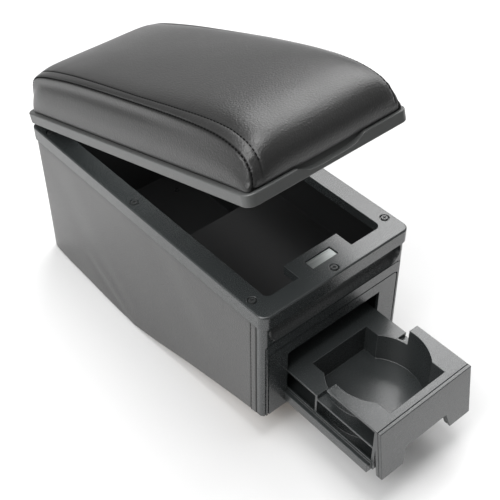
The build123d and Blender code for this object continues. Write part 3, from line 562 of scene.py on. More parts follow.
# The seam along the lid's edge: from the rear edge of the rim, above its top, from its middle; in millimetres
SEAM_LINE = (
    (5.0, 0.3, 67.0), (3.4, 3.0, 67.0), (3.2, 10.0, 67.0), (4.6, 18.0, 67.0), (8.6, 25.0, 67.0),
    (14.5, 29.8, 67.0), (22.0, 32.6, 67.0), (33.0, 34.4, 67.0), (55.0, 36.2, 67.0), (84.0, 37.7, 67.0),
    (120.0, 38.2, 67.0), (175.0, 37.9, 67.0), (215.0, 37.4, 67.0), (241.0, 36.6, 67.0), (264.0, 35.2, 67.0),
    (276.0, 33.8, 67.0), (287.0, 31.8, 67.1), (297.0, 28.6, 67.4), (306.3, 24.0, 67.9), (312.0, 18.8, 68.5),
    (315.4, 12.5, 69.1), (316.6, 7.0, 69.6), (316.4, 2.6, 70.2), (315.4, 0.3, 70.6),
)
SEAM_STEP = 2.4 * MM
# By the distance from the rear: shares of the top's rise, of the topstitch's inset, and of that on the right
RISE_SHARE = ((0.0, 0.1, 0.25), (0.5, 0.65, 1.0))
INSET_SHARE = ((0.05, 0.1, 0.18, 0.235, 0.29), (1.22, 1.0, 0.75, 0.88, 1.27))
RIGHT_SHARE = ((0.08, 0.19), (1.0, 0.42))
# Columns of the top panel: even ones from the middle, close ones by the topstitch in mm, and the strip's
EVEN_COLUMNS = 15
CLOSE_COLUMNS = (9.0, 6.5, 4.6, 3.2, 2.1, 1.3, 0.7, 0.0)
PANEL_HALF = 0.063
STRIP_COLUMNS = 6
TOPSTITCH, SEAM = 1.0, 2.0
# Form of the top panel: flatness of its crown, swell of the strip, and heights over which it rises
CROWN_POWER = 10
STRIP_SWELL = 0.5 * MM
RISE_FROM, RISE_TO = 0.5 * MM, 27 * MM
# Form of the side panels: rows, closer by the seam, their swell, and the tuck at their foot
SIDE_ROWS, ROW_POWER = 20, 1.25
DOWN = np.linspace(0, 1, SIDE_ROWS + 1) ** ROW_POWER
SIDE_SWELL = 1.0 * MM
SIDE_TUCK, TUCK_FROM = 1.0 * MM, 0.92
FOOT_GAP = 0.2 * MM
CORNER_POINTS = 9


class CushionNet:
    """Grid of the cover: a top panel over the whole length and two side panels, sewn along the seams."""

    def __init__(self, sizes):
        self.sizes = sizes
        self.points, self.faces = [], []
        seam = smooth_path([(s * MM, n * MM, x * MM) for s, n, x in SEAM_LINE], SEAM_STEP)
        self.count = len(seam)
        self.s, self.n, self.half = seam[:, 0], seam[:, 1], seam[:, 2]
        run = np.gradient(seam[:, :2], axis=0)
        run /= np.linalg.norm(run, axis=1)[:, None]
        self.out_s, self.out_n = -run[:, 1], run[:, 0]
        self.y, self.z = RIM_HIGH.y - self.s, RIM_HIGH.z + self.n
        self.full = np.interp(self.s, *RISE_SHARE)
        inset = sizes.strip * np.interp(self.s, *INSET_SHARE)
        self.left_line = self.half - inset
        self.right_line = self.half - inset * np.interp(self.s, *RIGHT_SHARE)
        close = [1 - d * MM / PANEL_HALF for d in CLOSE_COLUMNS]
        inner = list(np.linspace(0, close[0], EVEN_COLUMNS)[:-1]) + close
        outer = [1 + (r + 1) / STRIP_COLUMNS for r in range(STRIP_COLUMNS)]
        self.across = sorted({-c for c in inner + outer} | set(inner + outer))
        self.top = np.array([[self.add(c, k) for c in self.across] for k in range(self.count)])
        for k in range(self.count - 1):
            for m in range(len(self.across) - 1):
                a, b = self.top[k, m], self.top[k, m + 1]
                c, d = self.top[k + 1, m + 1], self.top[k + 1, m]
                self.face(a, d, c, b)
        self.sides = [self.side_panel(side) for side in (-1, 1)]
        left, right = self.sides[0][1:-1, -1], self.sides[1][1:-1, -1]
        for k in range(self.count - 3):
            self.face(left[k], left[k + 1], right[k + 1], right[k])
        self.face(*self.top[0], right[0], left[0])
        self.face(*self.top[-1][::-1], left[-1], right[-1])

    def line(self, c):
        """How far the topstitch on a column's side lies from the middle."""
        return self.right_line if c > 0 else self.left_line

    def add(self, c, k):
        """A point of the top panel: c runs from 0 in the middle to 1 at the topstitch and 2 at the seam."""
        shoulder, line, half = self.sizes.shoulder, self.line(c)[k], self.half[k]
        if abs(c) <= 1:
            x = c * line
            lift = shoulder + self.sizes.crown * (1 - abs(c) ** CROWN_POWER)
        else:
            part = abs(c) - 1
            x = math.copysign(line + part * (half - line), c)
            lift = shoulder * (1 - part) + STRIP_SWELL * math.sin(math.pi * part)
        lift *= float(ease(RISE_FROM, RISE_TO, self.n[k])) * self.full[k]
        self.points.append((x, self.y[k] - lift * self.out_s[k], self.z[k] + lift * self.out_n[k]))
        return len(self.points) - 1

    def face(self, *corners):
        """A face of the net, with corners that fall together named once."""
        kept = tuple(dict.fromkeys(int(i) for i in corners))
        if len(kept) > 2:
            self.faces.append(kept)

    def rim_line(self, side):
        """Plan of the pad's foot on one side, from the rear end of the seam to its front end."""
        half, rear, front = RIM_HIGH.x - self.sizes.inset, self.s[0], self.s[-1]
        turn = np.linspace(0, math.pi / 2, CORNER_POINTS)
        back, fore = half - self.half[0], half - self.half[-1]
        start = [(half - back * (1 - math.sin(a)), rear + back * (1 - math.cos(a))) for a in turn]
        end = [(half - fore * (1 - math.cos(a)), front - fore * (1 - math.sin(a))) for a in turn]
        line = smooth_path(start + end, (front - rear) / (3 * self.count))
        run = np.linspace(0, len(line) - 1, self.count)
        flat = [np.interp(run, range(len(line)), line[:, k]) for k in (0, 1)]
        return np.stack([side * flat[0], RIM_HIGH.y - flat[1]], axis=1)

    def side_panel(self, side):
        """Points of one side panel, from the seam down to the rim."""
        foot = self.rim_line(side)
        edge = self.top[:, -1] if side > 0 else self.top[:, 0]
        net = np.zeros((self.count, SIDE_ROWS + 1), int)
        for k in range(self.count):
            head = np.array(self.points[edge[k]])
            base = np.array([foot[k, 0], foot[k, 1], RIM_HIGH.z + FOOT_GAP])
            for r, w in enumerate(DOWN):
                if r == 0 or k in (0, self.count - 1):
                    net[k, r] = edge[k]
                    continue
                spot = head + (base - head) * w
                spot[0] += side * SIDE_SWELL * math.sin(math.pi * w)
                spot[0] -= side * SIDE_TUCK * float(ease(TUCK_FROM, 1.0, w))
                self.points.append(tuple(spot))
                net[k, r] = len(self.points) - 1
        for k in range(self.count - 1):
            for r in range(SIDE_ROWS):
                ring = (net[k, r], net[k, r + 1], net[k + 1, r + 1], net[k + 1, r])
                self.face(*(ring[::-1] if side > 0 else ring))
        return net

    def held_points(self):
        """Points that the sewing and the rim hold in place."""
        held = set(self.top[0]) | set(self.top[-1])
        for c in (-SEAM, -TOPSTITCH, TOPSTITCH, SEAM):
            held |= set(self.top[:, self.across.index(c)])
        for net in self.sides:
            held |= set(net[:, -1]) | set(net[:, -2])
        return sorted(int(i) for i in held)


CLOTH = {
    "quality": 6,
    "mass": 0.15,
    "tension_stiffness": 12,
    "compression_stiffness": 12,
    "shear_stiffness": 6,
    "bending_stiffness": 1.5,
    "use_pressure": True,
    "uniform_pressure_force": 4.0,
    "vertex_group_mass": "sewn",
}
CLOTH_STEPS = 20
EVENING_PASSES, EVENING_SHARE = 10, 0.6


def stuffed(net, points):
    """Cloth simulation: the cover swells between its seams, no further than the cap."""
    mesh = bpy.data.meshes.new("cushion_cloth")
    mesh.from_pydata([tuple(p) for p in points], [], net.faces)
    cloth = bpy.data.objects.new("cushion_cloth", mesh)
    bpy.context.scene.collection.objects.link(cloth)
    pins = cloth.vertex_groups.new(name="sewn")
    pins.add(net.held_points(), 1.0, "REPLACE")
    sim = cloth.modifiers.new("cloth", "CLOTH")
    for key, value in CLOTH.items():
        setattr(sim.settings, key, value)
    sim.settings.effector_weights.gravity = 0.0
    sim.collision_settings.use_self_collision = False
    sim.point_cache.frame_start, sim.point_cache.frame_end = 1, CLOTH_STEPS
    for step in range(1, CLOTH_STEPS + 1):
        bpy.context.scene.frame_set(step)
    shown = cloth.evaluated_get(bpy.context.evaluated_depsgraph_get()).data
    result = np.array([v.co for v in shown.vertices])
    bpy.context.scene.frame_set(1)
    bpy.data.objects.remove(cloth)
    bpy.data.meshes.remove(mesh)
    move = result - points
    pairs = np.array(sorted({tuple(sorted(e)) for f in net.faces for e in zip(f, f[1:] + f[:1])}))
    degree = np.bincount(pairs.ravel(), minlength=len(points))[:, None]
    loose = np.ones((len(points), 1))
    loose[net.held_points()] = 0
    for _ in range(EVENING_PASSES):
        total = np.zeros_like(move)
        np.add.at(total, pairs[:, 0], move[pairs[:, 1]])
        np.add.at(total, pairs[:, 1], move[pairs[:, 0]])
        move = move + loose * (total / degree - move) * EVENING_SHARE
    far = np.linalg.norm(move, axis=1).max()
    return points + move * min(1.0, net.sizes.swell / far)


def normals_of(points, faces):
    """Outward point normals of a mesh."""
    mesh = bpy.data.meshes.new("normals")
    mesh.from_pydata([tuple(p) for p in points], [], faces)
    mesh.update()
    found = np.array([v.vector for v in mesh.vertex_normals])
    bpy.data.meshes.remove(mesh)
    return found


# Widths of the seam on the top and the side panels, and of the topstitch's channel
TOP_SEAM, SIDE_SEAM, CHANNEL = 0.7 * MM, 0.8 * MM, 0.8 * MM
# Heights over which the channel begins
CHANNEL_FROM, CHANNEL_TO = 4 * MM, 12 * MM
# Puckers at the front corners: height, place and width from the seam; then length, phase and share of waves
TOP_PUCKER = (0.6 * MM, 3.0 * MM, 3.6 * MM)
SIDE_PUCKER = (0.5 * MM, 3.0 * MM, 3.0 * MM)
WAVES = ((1.15 * MM, 0.0, 0.6), (0.77 * MM, 1.3, 0.4))
# Where the puckers end upwards, where they begin from the rear, and where they begin from below
PUCKER_END, PUCKER_REAR, PUCKER_FOOT = (30 * MM, 18 * MM), (0.2, 0.3), (0, 6 * MM)
# Ridge and valley along the side panels: place and width as shares of the height, and where the valley ends
RIDGE, RIDGE_PLACE, RIDGE_WIDTH = 0.7 * MM, 0.6, 0.22
VALLEY_PLACE, VALLEY_WIDTH = 0.19, 0.11
VALLEY_END, VALLEY_FULL = 0.28, 0.16
FULL_HEIGHT = 36 * MM
# Painted shade in the seams and in the topstitch channel, with the width of each, and at the pad's foot, with
# where it begins
SEAM_PAINTED_SHADE, SEAM_SHADE = 0.7, 0.9 * MM
CHANNEL_PAINTED_SHADE, CHANNEL_SHADE = 0.4, 0.5 * MM
FOOT_PAINTED_SHADE, FOOT_FROM = 0.8, 0.94


def seam_work(net, points):
    """Seams, topstitch channels, side folds and puckers, moved along the surface normals, with painted shade
    in the seams, channels and at the foot.
    """
    sizes = net.sizes
    normal = normals_of(points, net.faces)
    shift = np.zeros(len(points))
    shade = np.zeros(len(points))
    along = np.arange(net.count) * SEAM_STEP
    corner = ease(*PUCKER_END, net.n) * ease(*PUCKER_REAR, net.s) * ease(*PUCKER_FOOT, net.n)
    ripple = corner * sum(np.sin(along / wave + phase) * part for wave, phase, part in WAVES)
    sewn_run = ease(CHANNEL_FROM, CHANNEL_TO, net.n)
    rise, place, width = TOP_PUCKER
    for m, c in enumerate(net.across):
        column, line = net.top[:, m], net.line(c)
        strip = np.hypot(net.half - line, sizes.shoulder * ease(0, RISE_TO, net.n))
        from_line = (abs(c) - 1) * (strip if abs(c) > 1 else line)
        gap = strip - from_line
        shift[column] -= sizes.seam_depth * hump(gap, 0, TOP_SEAM)
        shift[column] -= sizes.stitch_depth * hump(from_line, 0, CHANNEL) * sewn_run
        shift[column] += ripple * rise * hump(gap, place, width)
        painted_channel_shade = CHANNEL_PAINTED_SHADE * hump(from_line, 0, CHANNEL_SHADE) * sewn_run
        shade[column] = np.maximum(SEAM_PAINTED_SHADE * hump(gap, 0, SEAM_SHADE), painted_channel_shade)
    tall = np.clip(net.n / FULL_HEIGHT, 0, 1)
    valley = sizes.valley * ease(VALLEY_END, VALLEY_FULL, net.s)
    rise, place, width = SIDE_PUCKER
    for panel in net.sides:
        for r in range(1, SIDE_ROWS + 1):
            w, row = DOWN[r], panel[1:-1, r]
            drop = w * net.n
            fold = RIDGE * hump(w, RIDGE_PLACE, RIDGE_WIDTH) - valley * hump(w, VALLEY_PLACE, VALLEY_WIDTH)
            move = fold * tall - sizes.seam_depth * hump(drop, 0, SIDE_SEAM)
            move += ripple * rise * hump(drop, place, width)
            shift[row] += move[1:-1]
            painted_foot_shade = FOOT_PAINTED_SHADE * float(ease(FOOT_FROM, 1.0, w))
            shade[row] = np.maximum(SEAM_PAINTED_SHADE * hump(drop, 0, SEAM_SHADE), painted_foot_shade)[1:-1]
    return points + normal * shift[:, None], shade


def shade_seams(mesh, shade):
    """Stores the painted shade of each point of a leather mesh, in its seams and along its edges."""
    values = mesh.attributes.new("seam_shade", "FLOAT", "POINT").data
    values.foreach_set("value", shade.astype(np.float32).ravel())


SEAM_CREASE = 0.6
FRONT_PART = 0.2
# Stitches on the lid: column of the net, lowest height at the front and the rear, rise, pitch and half sizes
LID_STITCHES = {
    "lid_topstitch": (
        TOPSTITCH, 17 * MM, 8 * MM, 0.3 * MM, 3.4 * MM, (1.35 * MM, 0.45 * MM, 0.45 * MM)
    ),
    "lid_seam_stitches": (
        SEAM, 2 * MM, 2 * MM, 0.55 * MM, 3.4 * MM, (1.25 * MM, 0.55 * MM, 0.55 * MM)
    ),
}


class OBJECT_OT_armrest_cushion(bpy.types.Operator):
    """Sews and stuffs the lid's padded top"""

    bl_idname = "object.armrest_cushion"
    bl_label = "Lid cushion"

    def execute(self, context):
        sizes = context.scene.armrest_cushion
        look = context.scene.armrest_leather
        net = CushionNet(sizes)
        points = np.array(net.points)
        points = stuffed(net, points)
        points, shade = seam_work(net, points)
        placed = np.array([AJAR @ Vector(p) for p in points])
        mesh = bpy.data.meshes.new("lid_cushion")
        mesh.from_pydata([tuple(p) for p in placed], [], net.faces)
        if mesh.validate():
            raise RuntimeError("the cushion's net has bad faces")
        # Painted shade in the seams, the topstitch channels and at the pad's foot
        shade_seams(mesh, shade)
        crease = mesh.attributes.new("crease_edge", "FLOAT", "EDGE")
        seams = {int(i) for m in (0, -1) for i in net.top[:, m]}
        for edge in mesh.edges:
            if edge.vertices[0] in seams and edge.vertices[1] in seams:
                crease.data[edge.index].value = SEAM_CREASE
        mesh.shade_smooth()
        piece = new_piece("lid_cushion", mesh, leather_finish("cushion_leather", look.colour))
        fine = piece.modifiers.new("fine", "SUBSURF")
        fine.levels = fine.render_levels = 1
        baked(piece)
        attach(piece, "lid")
        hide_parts("lid_cover", "lid_foam")
        normal = normals_of(points, net.faces)
        thread = thread_finish(look.thread)
        for name, (column, front_low, rear_low, rise, pitch, size) in LID_STITCHES.items():
            stations = np.flatnonzero(net.n > np.where(net.s > FRONT_PART, front_low, rear_low))
            rows = []
            for c in (-column, column):
                line = net.top[stations, net.across.index(c)]
                rows.append([AJAR @ Vector(points[i] + normal[i] * rise) for i in line])
            sewn(name, rows, pitch, size, thread, "lid")
        return {"FINISHED"}


# Columns of the side leather: close ones by its front edge in mm, then those of a side, a corner and the rear
CLOSE_TO_EDGE = (0, 0.35, 0.9, 1.8, 3.0, 4.4, 5.6, 6.3, 7.0, 7.7, 8.4, 9.6, 11.5)
SIDE_COLUMNS, CORNER_COLUMNS, REAR_COLUMNS = 76, 7, 37
WRAP_CORNER = 5 * MM
# Rows of the side leather: close ones in its hem, a share of the height, and those above
HEM, HEM_ROWS, WALL_ROWS = 0.05, 5, 42
# Lower edge of the skirt: where its kink is, and how far it rises from there to the front
KINK, FOOT_RISE = 17 * MM, 27.0 * MM
# Share of the flare along the box, and how it fades upwards
FLARE_AT = (WRAP_LOW.y, -0.12, -0.06, -0.01, KINK, 0.05, 0.075, 0.13, 0.146, 0.154, 0.2)
FLARE_SHARE = (0, 0.06, 0.42, 0.88, 1, 0.9, 0.76, 0.46, 0.3, 0.12, 0.0)
FLARE_POWER = 2.6
# Folds in both sides: their two ends along the box and up, depth and width in millimetres
FOLDS = (
    ((0.083, 0.03), (0.024, 0.001), 0.3, 5.0),
    ((0.062, 0.045), (0.016, 0.006), 0.12, 7.0),
    ((-0.02, 0.125), (-0.075, 0.055), 0.25, 16.0),
    ((0.13, 0.11), (0.09, 0.05), 0.25, 16.0),
)
# How a fold fades past and before its two ends, and the swell beside it: its share of the depth, then its
# place and its width as shares of the fold's width
FOLD_START, FOLD_END = (-0.02, 0.012), (0.015, -0.012)
SWELL_SHARE, SWELL_PLACE, SWELL_WIDTH = 0.7, 1.9, 1.1
# Points this near the widest place of the leather belong to a side
SIDE_BAND = 1 * MM
# Depths of the stitch line, of the pad in front of it, and of the turned-in front, lower and upper edges
LINE_DEPTH, LINE_WIDTH, FRONT_PAD = 0.55 * MM, 0.55 * MM, 0.3 * MM
FRONT_TURN, FOOT_TURN, TOP_TURN = 1.1 * MM, 0.9 * MM, 0.35 * MM
# Where those run: the pad and the front by the distance from the front edge, the others by the height's share
PAD_RUN, FRONT_RUN = (7.5 * MM, 6.0 * MM), (1.6 * MM, 0.0)
FOOT_RUN, TOP_RUN = (0.012, 0.0), (0.96, 1.0)
# Painted shade in the stitch line, along the front edge and along the lower edge, and where the last two run
LINE_PAINTED_SHADE, EDGE_PAINTED_SHADE, HEM_PAINTED_SHADE = 0.75, 0.95, 0.4
EDGE_SHADE, HEM_SHADE = (1.9 * MM, 0.3 * MM), (0.015, 0.0)
# Stitches in the side leather: rise, pitch and half sizes
SIDE_RISE, SIDE_PITCH, SIDE_STITCH = 0.2 * MM, 4.2 * MM, (1.55 * MM, 0.36 * MM, 0.36 * MM)


def wrap_plan(corner):
    """Plan of the leather from the left front edge round the rear to the right front edge."""
    half, front, rear = WRAP_HIGH.x, WRAP_LOW.y, WRAP_HIGH.y
    turn = np.linspace(0, math.pi / 2, CORNER_COLUMNS)[1:-1]
    near = [front + d * MM for d in CLOSE_TO_EDGE]
    straight = near + list(np.linspace(near[-1], rear - corner, SIDE_COLUMNS)[1:])
    left = [(-half, y) for y in straight]
    left += [(-half + corner * (1 - math.cos(a)), rear - corner * (1 - math.sin(a))) for a in turn]
    across = np.linspace(-half + corner, half - corner, REAR_COLUMNS)
    right = [(-x, y) for x, y in left[::-1]]
    return np.array(left + [(x, rear) for x in across] + right)


def fold_depth(y, z):
    """How deep the folds are at points of a side, by their place along the box and their height."""
    total = 0.0
    for (y0, z0), (y1, z1), depth, width in FOLDS:
        d = np.array([y1 - y0, z1 - z0])
        reach = np.linalg.norm(d)
        d /= reach
        u = (y - y0) * d[0] + (z - z0) * d[1]
        v = (y - y0) * d[1] - (z - z0) * d[0]
        fade = ease(*FOLD_START, u) * ease(*(reach + end for end in FOLD_END), u)
        swell = hump(v, SWELL_PLACE * width * MM, width * SWELL_WIDTH * MM)
        fold = hump(v, 0, width * MM) - SWELL_SHARE * swell
        total = total + fade * fold * depth * MM
    return total


class OBJECT_OT_armrest_leather(bpy.types.Operator):
    """Stretches the leather round the sides of the box"""

    bl_idname = "object.armrest_leather"
    bl_label = "Side leather"

    def execute(self, context):
        sizes = context.scene.armrest_leather
        plan = wrap_plan(WRAP_CORNER)
        run = np.gradient(plan, axis=0)
        run /= np.linalg.norm(run, axis=1)[:, None]
        outward = np.stack([-run[:, 1], run[:, 0]], axis=1)
        front = WRAP_LOW.y
        foot = WRAP_LOW.z + np.clip((KINK - plan[:, 1]) / (KINK - front), 0, 1) * FOOT_RISE
        flare = np.interp(plan[:, 1], FLARE_AT, FLARE_SHARE)
        levels = np.concatenate([np.linspace(0, HEM, HEM_ROWS), np.linspace(HEM, 1, WALL_ROWS)[1:]])
        count, rows = len(plan), len(levels)
        x = np.repeat(plan[:, :1], rows, 1)
        y = np.repeat(plan[:, 1:], rows, 1)
        z = foot[:, None] + (WRAP_HIGH.z - foot)[:, None] * levels[None, :]
        side = abs(x) > WRAP_HIGH.x - SIDE_BAND
        gap = y - front
        line = hump(gap, sizes.stitch_inset, LINE_WIDTH) * side
        out = flare[:, None] * sizes.flare * (1 - levels[None, :]) ** FLARE_POWER
        out = out - side * fold_depth(y, z)
        out = out - LINE_DEPTH * line + FRONT_PAD * side * ease(*PAD_RUN, gap)
        out = out - FRONT_TURN * side * ease(*FRONT_RUN, gap) ** 2
        out = out - FOOT_TURN * ease(*FOOT_RUN, levels[None, :])
        out = out - TOP_TURN * ease(*TOP_RUN, levels[None, :])
        points = np.stack([x + outward[:, :1] * out, y + outward[:, 1:] * out, z], axis=2)
        faces = []
        for a in range(count - 1):
            for b in range(rows - 1):
                k = a * rows + b
                faces.append((k, k + 1, k + rows + 1, k + rows))
        mesh = bpy.data.meshes.new("side_leather")
        mesh.from_pydata([tuple(p) for p in points.reshape(-1, 3)], [], faces)
        # Painted shade in the stitch line and along the front and lower edges
        shade = np.maximum(LINE_PAINTED_SHADE * line, EDGE_PAINTED_SHADE * side * ease(*EDGE_SHADE, gap))
        shade = np.maximum(shade, HEM_PAINTED_SHADE * ease(*HEM_SHADE, levels[None, :]))
        shade_seams(mesh, shade)
        mesh.shade_smooth()
        # The side leather wears its colour painted lighter for the light on the sides
        piece = new_piece("side_leather", mesh, leather_finish("side_leather", sizes.painted_light_side_colour))
        wall = piece.modifiers.new("wall", "SOLIDIFY")
        wall.thickness, wall.offset = sizes.thickness, -1.0
        baked(piece)
        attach(piece, "box")
        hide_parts("leather_wrap")
        m = int(np.argmin(abs(plan[:SIDE_COLUMNS, 1] - front - sizes.stitch_inset)))
        rows_of_thread = []
        for k in (m, count - 1 - m):
            column = points[k] + np.append(outward[k], 0) * SIDE_RISE
            rows_of_thread.append([Vector(p) for p in column[1:-2]])
        thread = thread_finish(sizes.thread)
        sewn("side_stitches", rows_of_thread, SIDE_PITCH, SIDE_STITCH, thread, "box")
        return {"FINISHED"}


# The tray's rear face stands clear of the housing's rear wall by this when the drawer is in
STOP_GAP = 0.15 * MM
REAR_FACE = 0.6 * MM
# Web under the drawer's deck that shuts out light behind its right pockets
WEB_LOW, WEB_HIGH = Vector((39.5, -189.6, 54.0)) * MM, Vector((49.5, -187.6, 65.7)) * MM


class OBJECT_OT_armrest_mouldings(bpy.types.Operator):
    """Rounds and grains the moulded plastic"""

    bl_idname = "object.armrest_mouldings"
    bl_label = "Moulded plastic"

    def execute(self, context):
        look = context.scene.armrest_plastic
        plastic = plastic_finish("moulded_plastic", look.colour)
        # The lining is a matte black plastic, painted darker for the shade in the bin and the drawer housing
        lining = plastic_finish("bin_lining", look.bin_colour_with_painted_shade, rough=0.65, grain=0.6, gloss=0.15)
        for node in ("lid_liner", "drawer_face"):
            moulded_copy(node, look.edge, plastic)
        tray = moulded_copy("drawer_tray", look.edge, plastic)
        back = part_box("drawer_tray")[1].y - REAR_FACE
        for vertex in tray.data.vertices:
            if vertex.co.y > back:
                vertex.co.y -= STOP_GAP
        frame_top = outer_top(*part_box("top_frame"))
        moulded_copy("top_frame", look.broad_edge, plastic, broad=frame_top)
        rim_top = outer_top(RIM_LOW, RIM_HIGH, SHUT)
        # The rim's plastic is painted lighter for the light on its side band
        rim = plastic_finish("rim_plastic_painted_light", look.painted_light_rim_colour, rough=0.42, grain=0.6)
        moulded_copy("lid_rim", look.broad_edge, rim, broad=rim_top)
        wear_finishes((plastic, ("front_fascia",)), (lining, ("drawer_housing", "bin_screws")))
        web = bpy.data.meshes.new("drawer_notch_web")
        block = Matrix.LocRotScale((WEB_LOW + WEB_HIGH) / 2, None, WEB_HIGH - WEB_LOW)
        work = bmesh.new()
        bmesh.ops.create_cube(work, matrix=block)
        work.to_mesh(web)
        work.free()
        closed = new_piece("drawer_notch_web", web, plastic)
        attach(closed, "drawer")
        moulded_copy("storage_bin", look.edge, lining)
        return {"FINISHED"}


MAGNET_EDGE = 0.25 * MM
# Metals: colour, scale of the streaks along the axes, and roughness
ZINC = ((0.3, 0.31, 0.31), (900.0, 30.0, 900.0), 0.4)
STEEL = ((0.5, 0.5, 0.5), (30.0, 900.0, 900.0), 0.3)
NICKEL = ((0.29, 0.305, 0.3), (30.0, 520.0, 100.0), 0.27)
SCREW_COLOUR = (0.03, 0.032, 0.032)


class OBJECT_OT_armrest_hardware(bpy.types.Operator):
    """Finishes the boards, rails, screws, hinge, magnet and buffers"""

    bl_idname = "object.armrest_hardware"
    bl_label = "Boards and hardware"

    def execute(self, context):
        board = board_finish()
        zinc = brushed_finish("zinc_rail", *ZINC)
        black = plastic_finish("blackened_screw", SCREW_COLOUR, rough=0.35, grain=0.1)
        steel = brushed_finish("hinge_steel", *STEEL)
        screws = (
            "frame_screws", "housing_screws", "rail_screws", "hinge_box_screws", "hinge_lid_screws",
            "liner_screws", "face_screws",
        )
        wear_finishes(
            (board, ("left_panel", "right_panel", "rear_panel", "bottom_board")),
            (zinc, ("mount_rail_left", "mount_rail_right")),
            (black, screws),
            (steel, ("hinge_box_leaf", "hinge_lid_leaf", "hinge_pin", "lid_strike")),
            (rubber_finish(), ("lid_buffers",)),
        )
        nickel = brushed_finish("magnet_nickel", *NICKEL)
        moulded_copy("catch_magnet", MAGNET_EDGE, nickel)
        return {"FINISHED"}


# Soft lamps round the armrest: azimuth from +X, elevation, width, height and power
LAMPS = {
    "right_rear_key": (42, 41, 0.8, 0.6, 9.0),
    "right_rear_top": (45, 60, 0.8, 0.6, 4.4),
    "right_key": (12, 45, 0.8, 0.6, 10.0),
    "right_low": (10, 18, 1.2, 0.6, 6.5),
    "left_rear": (141, 28, 1.0, 0.7, 1.5),
    "left_low": (178, 30, 1.0, 1.0, 14.0),
    "left_high": (178, 55, 1.0, 1.0, 12.0),
    "camera_side": (205, 50, 1.0, 1.0, 7.5),
    "front_right": (308, 30, 1.0, 0.8, 0.6),
    "rear_low": (62, 15, 1.4, 0.6, 1.2),
    "overhead": (0, 89, 1.0, 1.0, 24.5),
}
LAMP_REACH = 1.8
LAMP_TARGET = Vector((0.0, -0.03, 0.12))
# The weak lamp under the ajar lid: its place with the lid shut, then width, height and power
BIN_FILL_PLACE = (0.0, 0.04, RIM_LOW.z - 8 * MM)
BIN_FILL = (0.11, 0.14, 0.25)
# The floor's brightness to its surroundings and to the camera, and its left, right, near and far edges.
# The near edge lies close, so that the lid's front slope mirrors the dark beyond it
FLOOR_BRIGHT, FLOOR_SEEN = 0.84, 0.67
FLOOR_EDGES = (-2.2, 1.8, -0.47, 2.4)
# The camera's place, its axes to the right, up and back, and its sensor
CAMERA_PLACE = (-0.4037, -0.5289, 0.68255)
CAMERA_AXES = (
    (0.75863796, -0.65147596, -0.00689412),
    (0.45085092, 0.51731424, 0.72740595),
    (-0.47032106, -0.55494599, 0.68617276),
)
SENSOR_WIDTH = 36.0


def area_lamp(name, width, height, power):
    """A soft rectangular lamp, not yet in its place."""
    light = bpy.data.lights.new(name, "AREA")
    light.shape = "RECTANGLE"
    light.size, light.size_y = width, height
    light.energy = power
    holder = bpy.data.objects.new(name, light)
    bpy.context.scene.collection.objects.link(holder)
    return holder


def lamp(name, azimuth, elevation, width, height, power):
    """A soft lamp that points at the armrest."""
    turn, rise = math.radians(azimuth), math.radians(elevation)
    level = math.cos(rise)
    towards = Vector((level * math.cos(turn), level * math.sin(turn), math.sin(rise)))
    holder = area_lamp(name, width, height, power)
    holder.location = LAMP_TARGET + towards * LAMP_REACH
    holder.rotation_euler = (-towards).to_track_quat("-Z", "Y").to_euler()


def bin_fill():
    """A weak lamp under the ajar lid that lifts the dark of the bin and leaves no reflection."""
    holder = area_lamp("bin_fill", *BIN_FILL)
    holder.matrix_world = AJAR @ Matrix.Translation(BIN_FILL_PLACE)
    holder.visible_glossy = False


def floor_finish():
    """Pale floor that keeps its shadow, a little darker to the camera than to its surroundings."""
    f = Finish("pale_floor")
    ray = f.node("ShaderNodeLightPath", {}, {}, "Is Camera Ray")
    grain = f.noise(40.0, 2.0) * 0.02 - 0.01
    bright, seen = ((grey, grey, grey, 1) for grey in (FLOOR_BRIGHT, FLOOR_SEEN))
    paint = f.mixed((ray + grain).held(), bright, seen)
    return f.ended(f.node("ShaderNodeBsdfDiffuse", {}, {"Color": paint}))


def studio_world(glow):
    """White backdrop to the camera, a faint even glow to everything else."""
    world = bpy.data.worlds.new("studio")
    world.use_nodes = True
    tree = world.node_tree
    tree.nodes.clear()
    ray = tree.nodes.new("ShaderNodeLightPath")
    light = tree.nodes.new("ShaderNodeBackground")
    white = tree.nodes.new("ShaderNodeBackground")
    mix = tree.nodes.new("ShaderNodeMixShader")
    output = tree.nodes.new("ShaderNodeOutputWorld")
    light.inputs["Color"].default_value = (glow, glow, glow, 1)
    white.inputs["Color"].default_value = (1, 1, 1, 1)
    tree.links.new(ray.outputs["Is Camera Ray"], mix.inputs["Fac"])
    tree.links.new(light.outputs["Background"], mix.inputs[1])
    tree.links.new(white.outputs["Background"], mix.inputs[2])
    tree.links.new(mix.outputs["Shader"], output.inputs["Surface"])
    bpy.context.scene.world = world


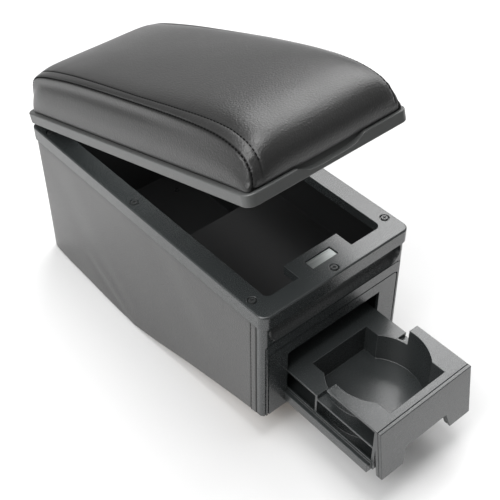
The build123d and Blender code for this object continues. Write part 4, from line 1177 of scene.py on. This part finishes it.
class OBJECT_OT_armrest_stage(bpy.types.Operator):
    """Sets the camera, the lamps, the pale floor and the white backdrop"""

    bl_idname = "object.armrest_stage"
    bl_label = "Studio"

    def execute(self, context):
        sizes = context.scene.armrest_stage
        lens = bpy.data.cameras.new("camera")
        lens.sensor_width, lens.lens = SENSOR_WIDTH, sizes.focal
        lens.clip_start, lens.clip_end = 0.01, 50.0
        camera = bpy.data.objects.new("camera", lens)
        turn = Matrix(CAMERA_AXES).transposed().to_4x4()
        camera.matrix_world = Matrix.Translation(CAMERA_PLACE) @ turn
        context.scene.collection.objects.link(camera)
        context.scene.camera = camera
        mesh = bpy.data.meshes.new("floor")
        left, right, near, far = FLOOR_EDGES
        corners = [(left, near, 0), (right, near, 0), (right, far, 0), (left, far, 0)]
        mesh.from_pydata(corners, [], [(0, 1, 2, 3)])
        floor = new_piece("floor", mesh, floor_finish())
        studio_world(sizes.glow)
        for name, place in LAMPS.items():
            lamp(name, *place)
        bin_fill()
        context.scene.view_settings.view_transform = "Standard"
        return {"FINISHED"}


class VIEW3D_PT_armrest(bpy.types.Panel):
    """Lists the armrest's pieces and their sizes"""

    bl_idname = "VIEW3D_PT_armrest"
    bl_label = "Car centre armrest"
    bl_space_type = "VIEW_3D"
    bl_region_type = "UI"
    bl_category = "Armrest"

    def draw(self, context):
        for operator in OPERATORS:
            self.layout.operator(operator.bl_idname)
        for name in GROUPS:
            group = getattr(context.scene, name)
            for key in group.bl_rna.properties.keys():
                if key not in ("rna_type", "name"):
                    self.layout.prop(group, key)


GROUPS = {
    "armrest_cushion": ArmrestCushion,
    "armrest_leather": ArmrestLeather,
    "armrest_plastic": ArmrestPlastic,
    "armrest_stage": ArmrestStage,
}
OPERATORS = (
    OBJECT_OT_armrest_stage,
    OBJECT_OT_armrest_mouldings,
    OBJECT_OT_armrest_leather,
    OBJECT_OT_armrest_cushion,
    OBJECT_OT_armrest_hardware,
)


def register():
    for kind in (*GROUPS.values(), *OPERATORS, VIEW3D_PT_armrest):
        bpy.utils.register_class(kind)
    for name, group in GROUPS.items():
        setattr(bpy.types.Scene, name, bpy.props.PointerProperty(type=group))


def unregister():
    for name in GROUPS:
        delattr(bpy.types.Scene, name)
    for kind in (VIEW3D_PT_armrest, *reversed(OPERATORS), *reversed(GROUPS.values())):
        bpy.utils.unregister_class(kind)


def main():
    register()
    bpy.ops.object.armrest_stage()
    bpy.ops.object.armrest_mouldings()
    bpy.ops.object.armrest_leather()
    bpy.ops.object.armrest_cushion()
    bpy.ops.object.armrest_hardware()


if __name__ == "__main__":
    main()
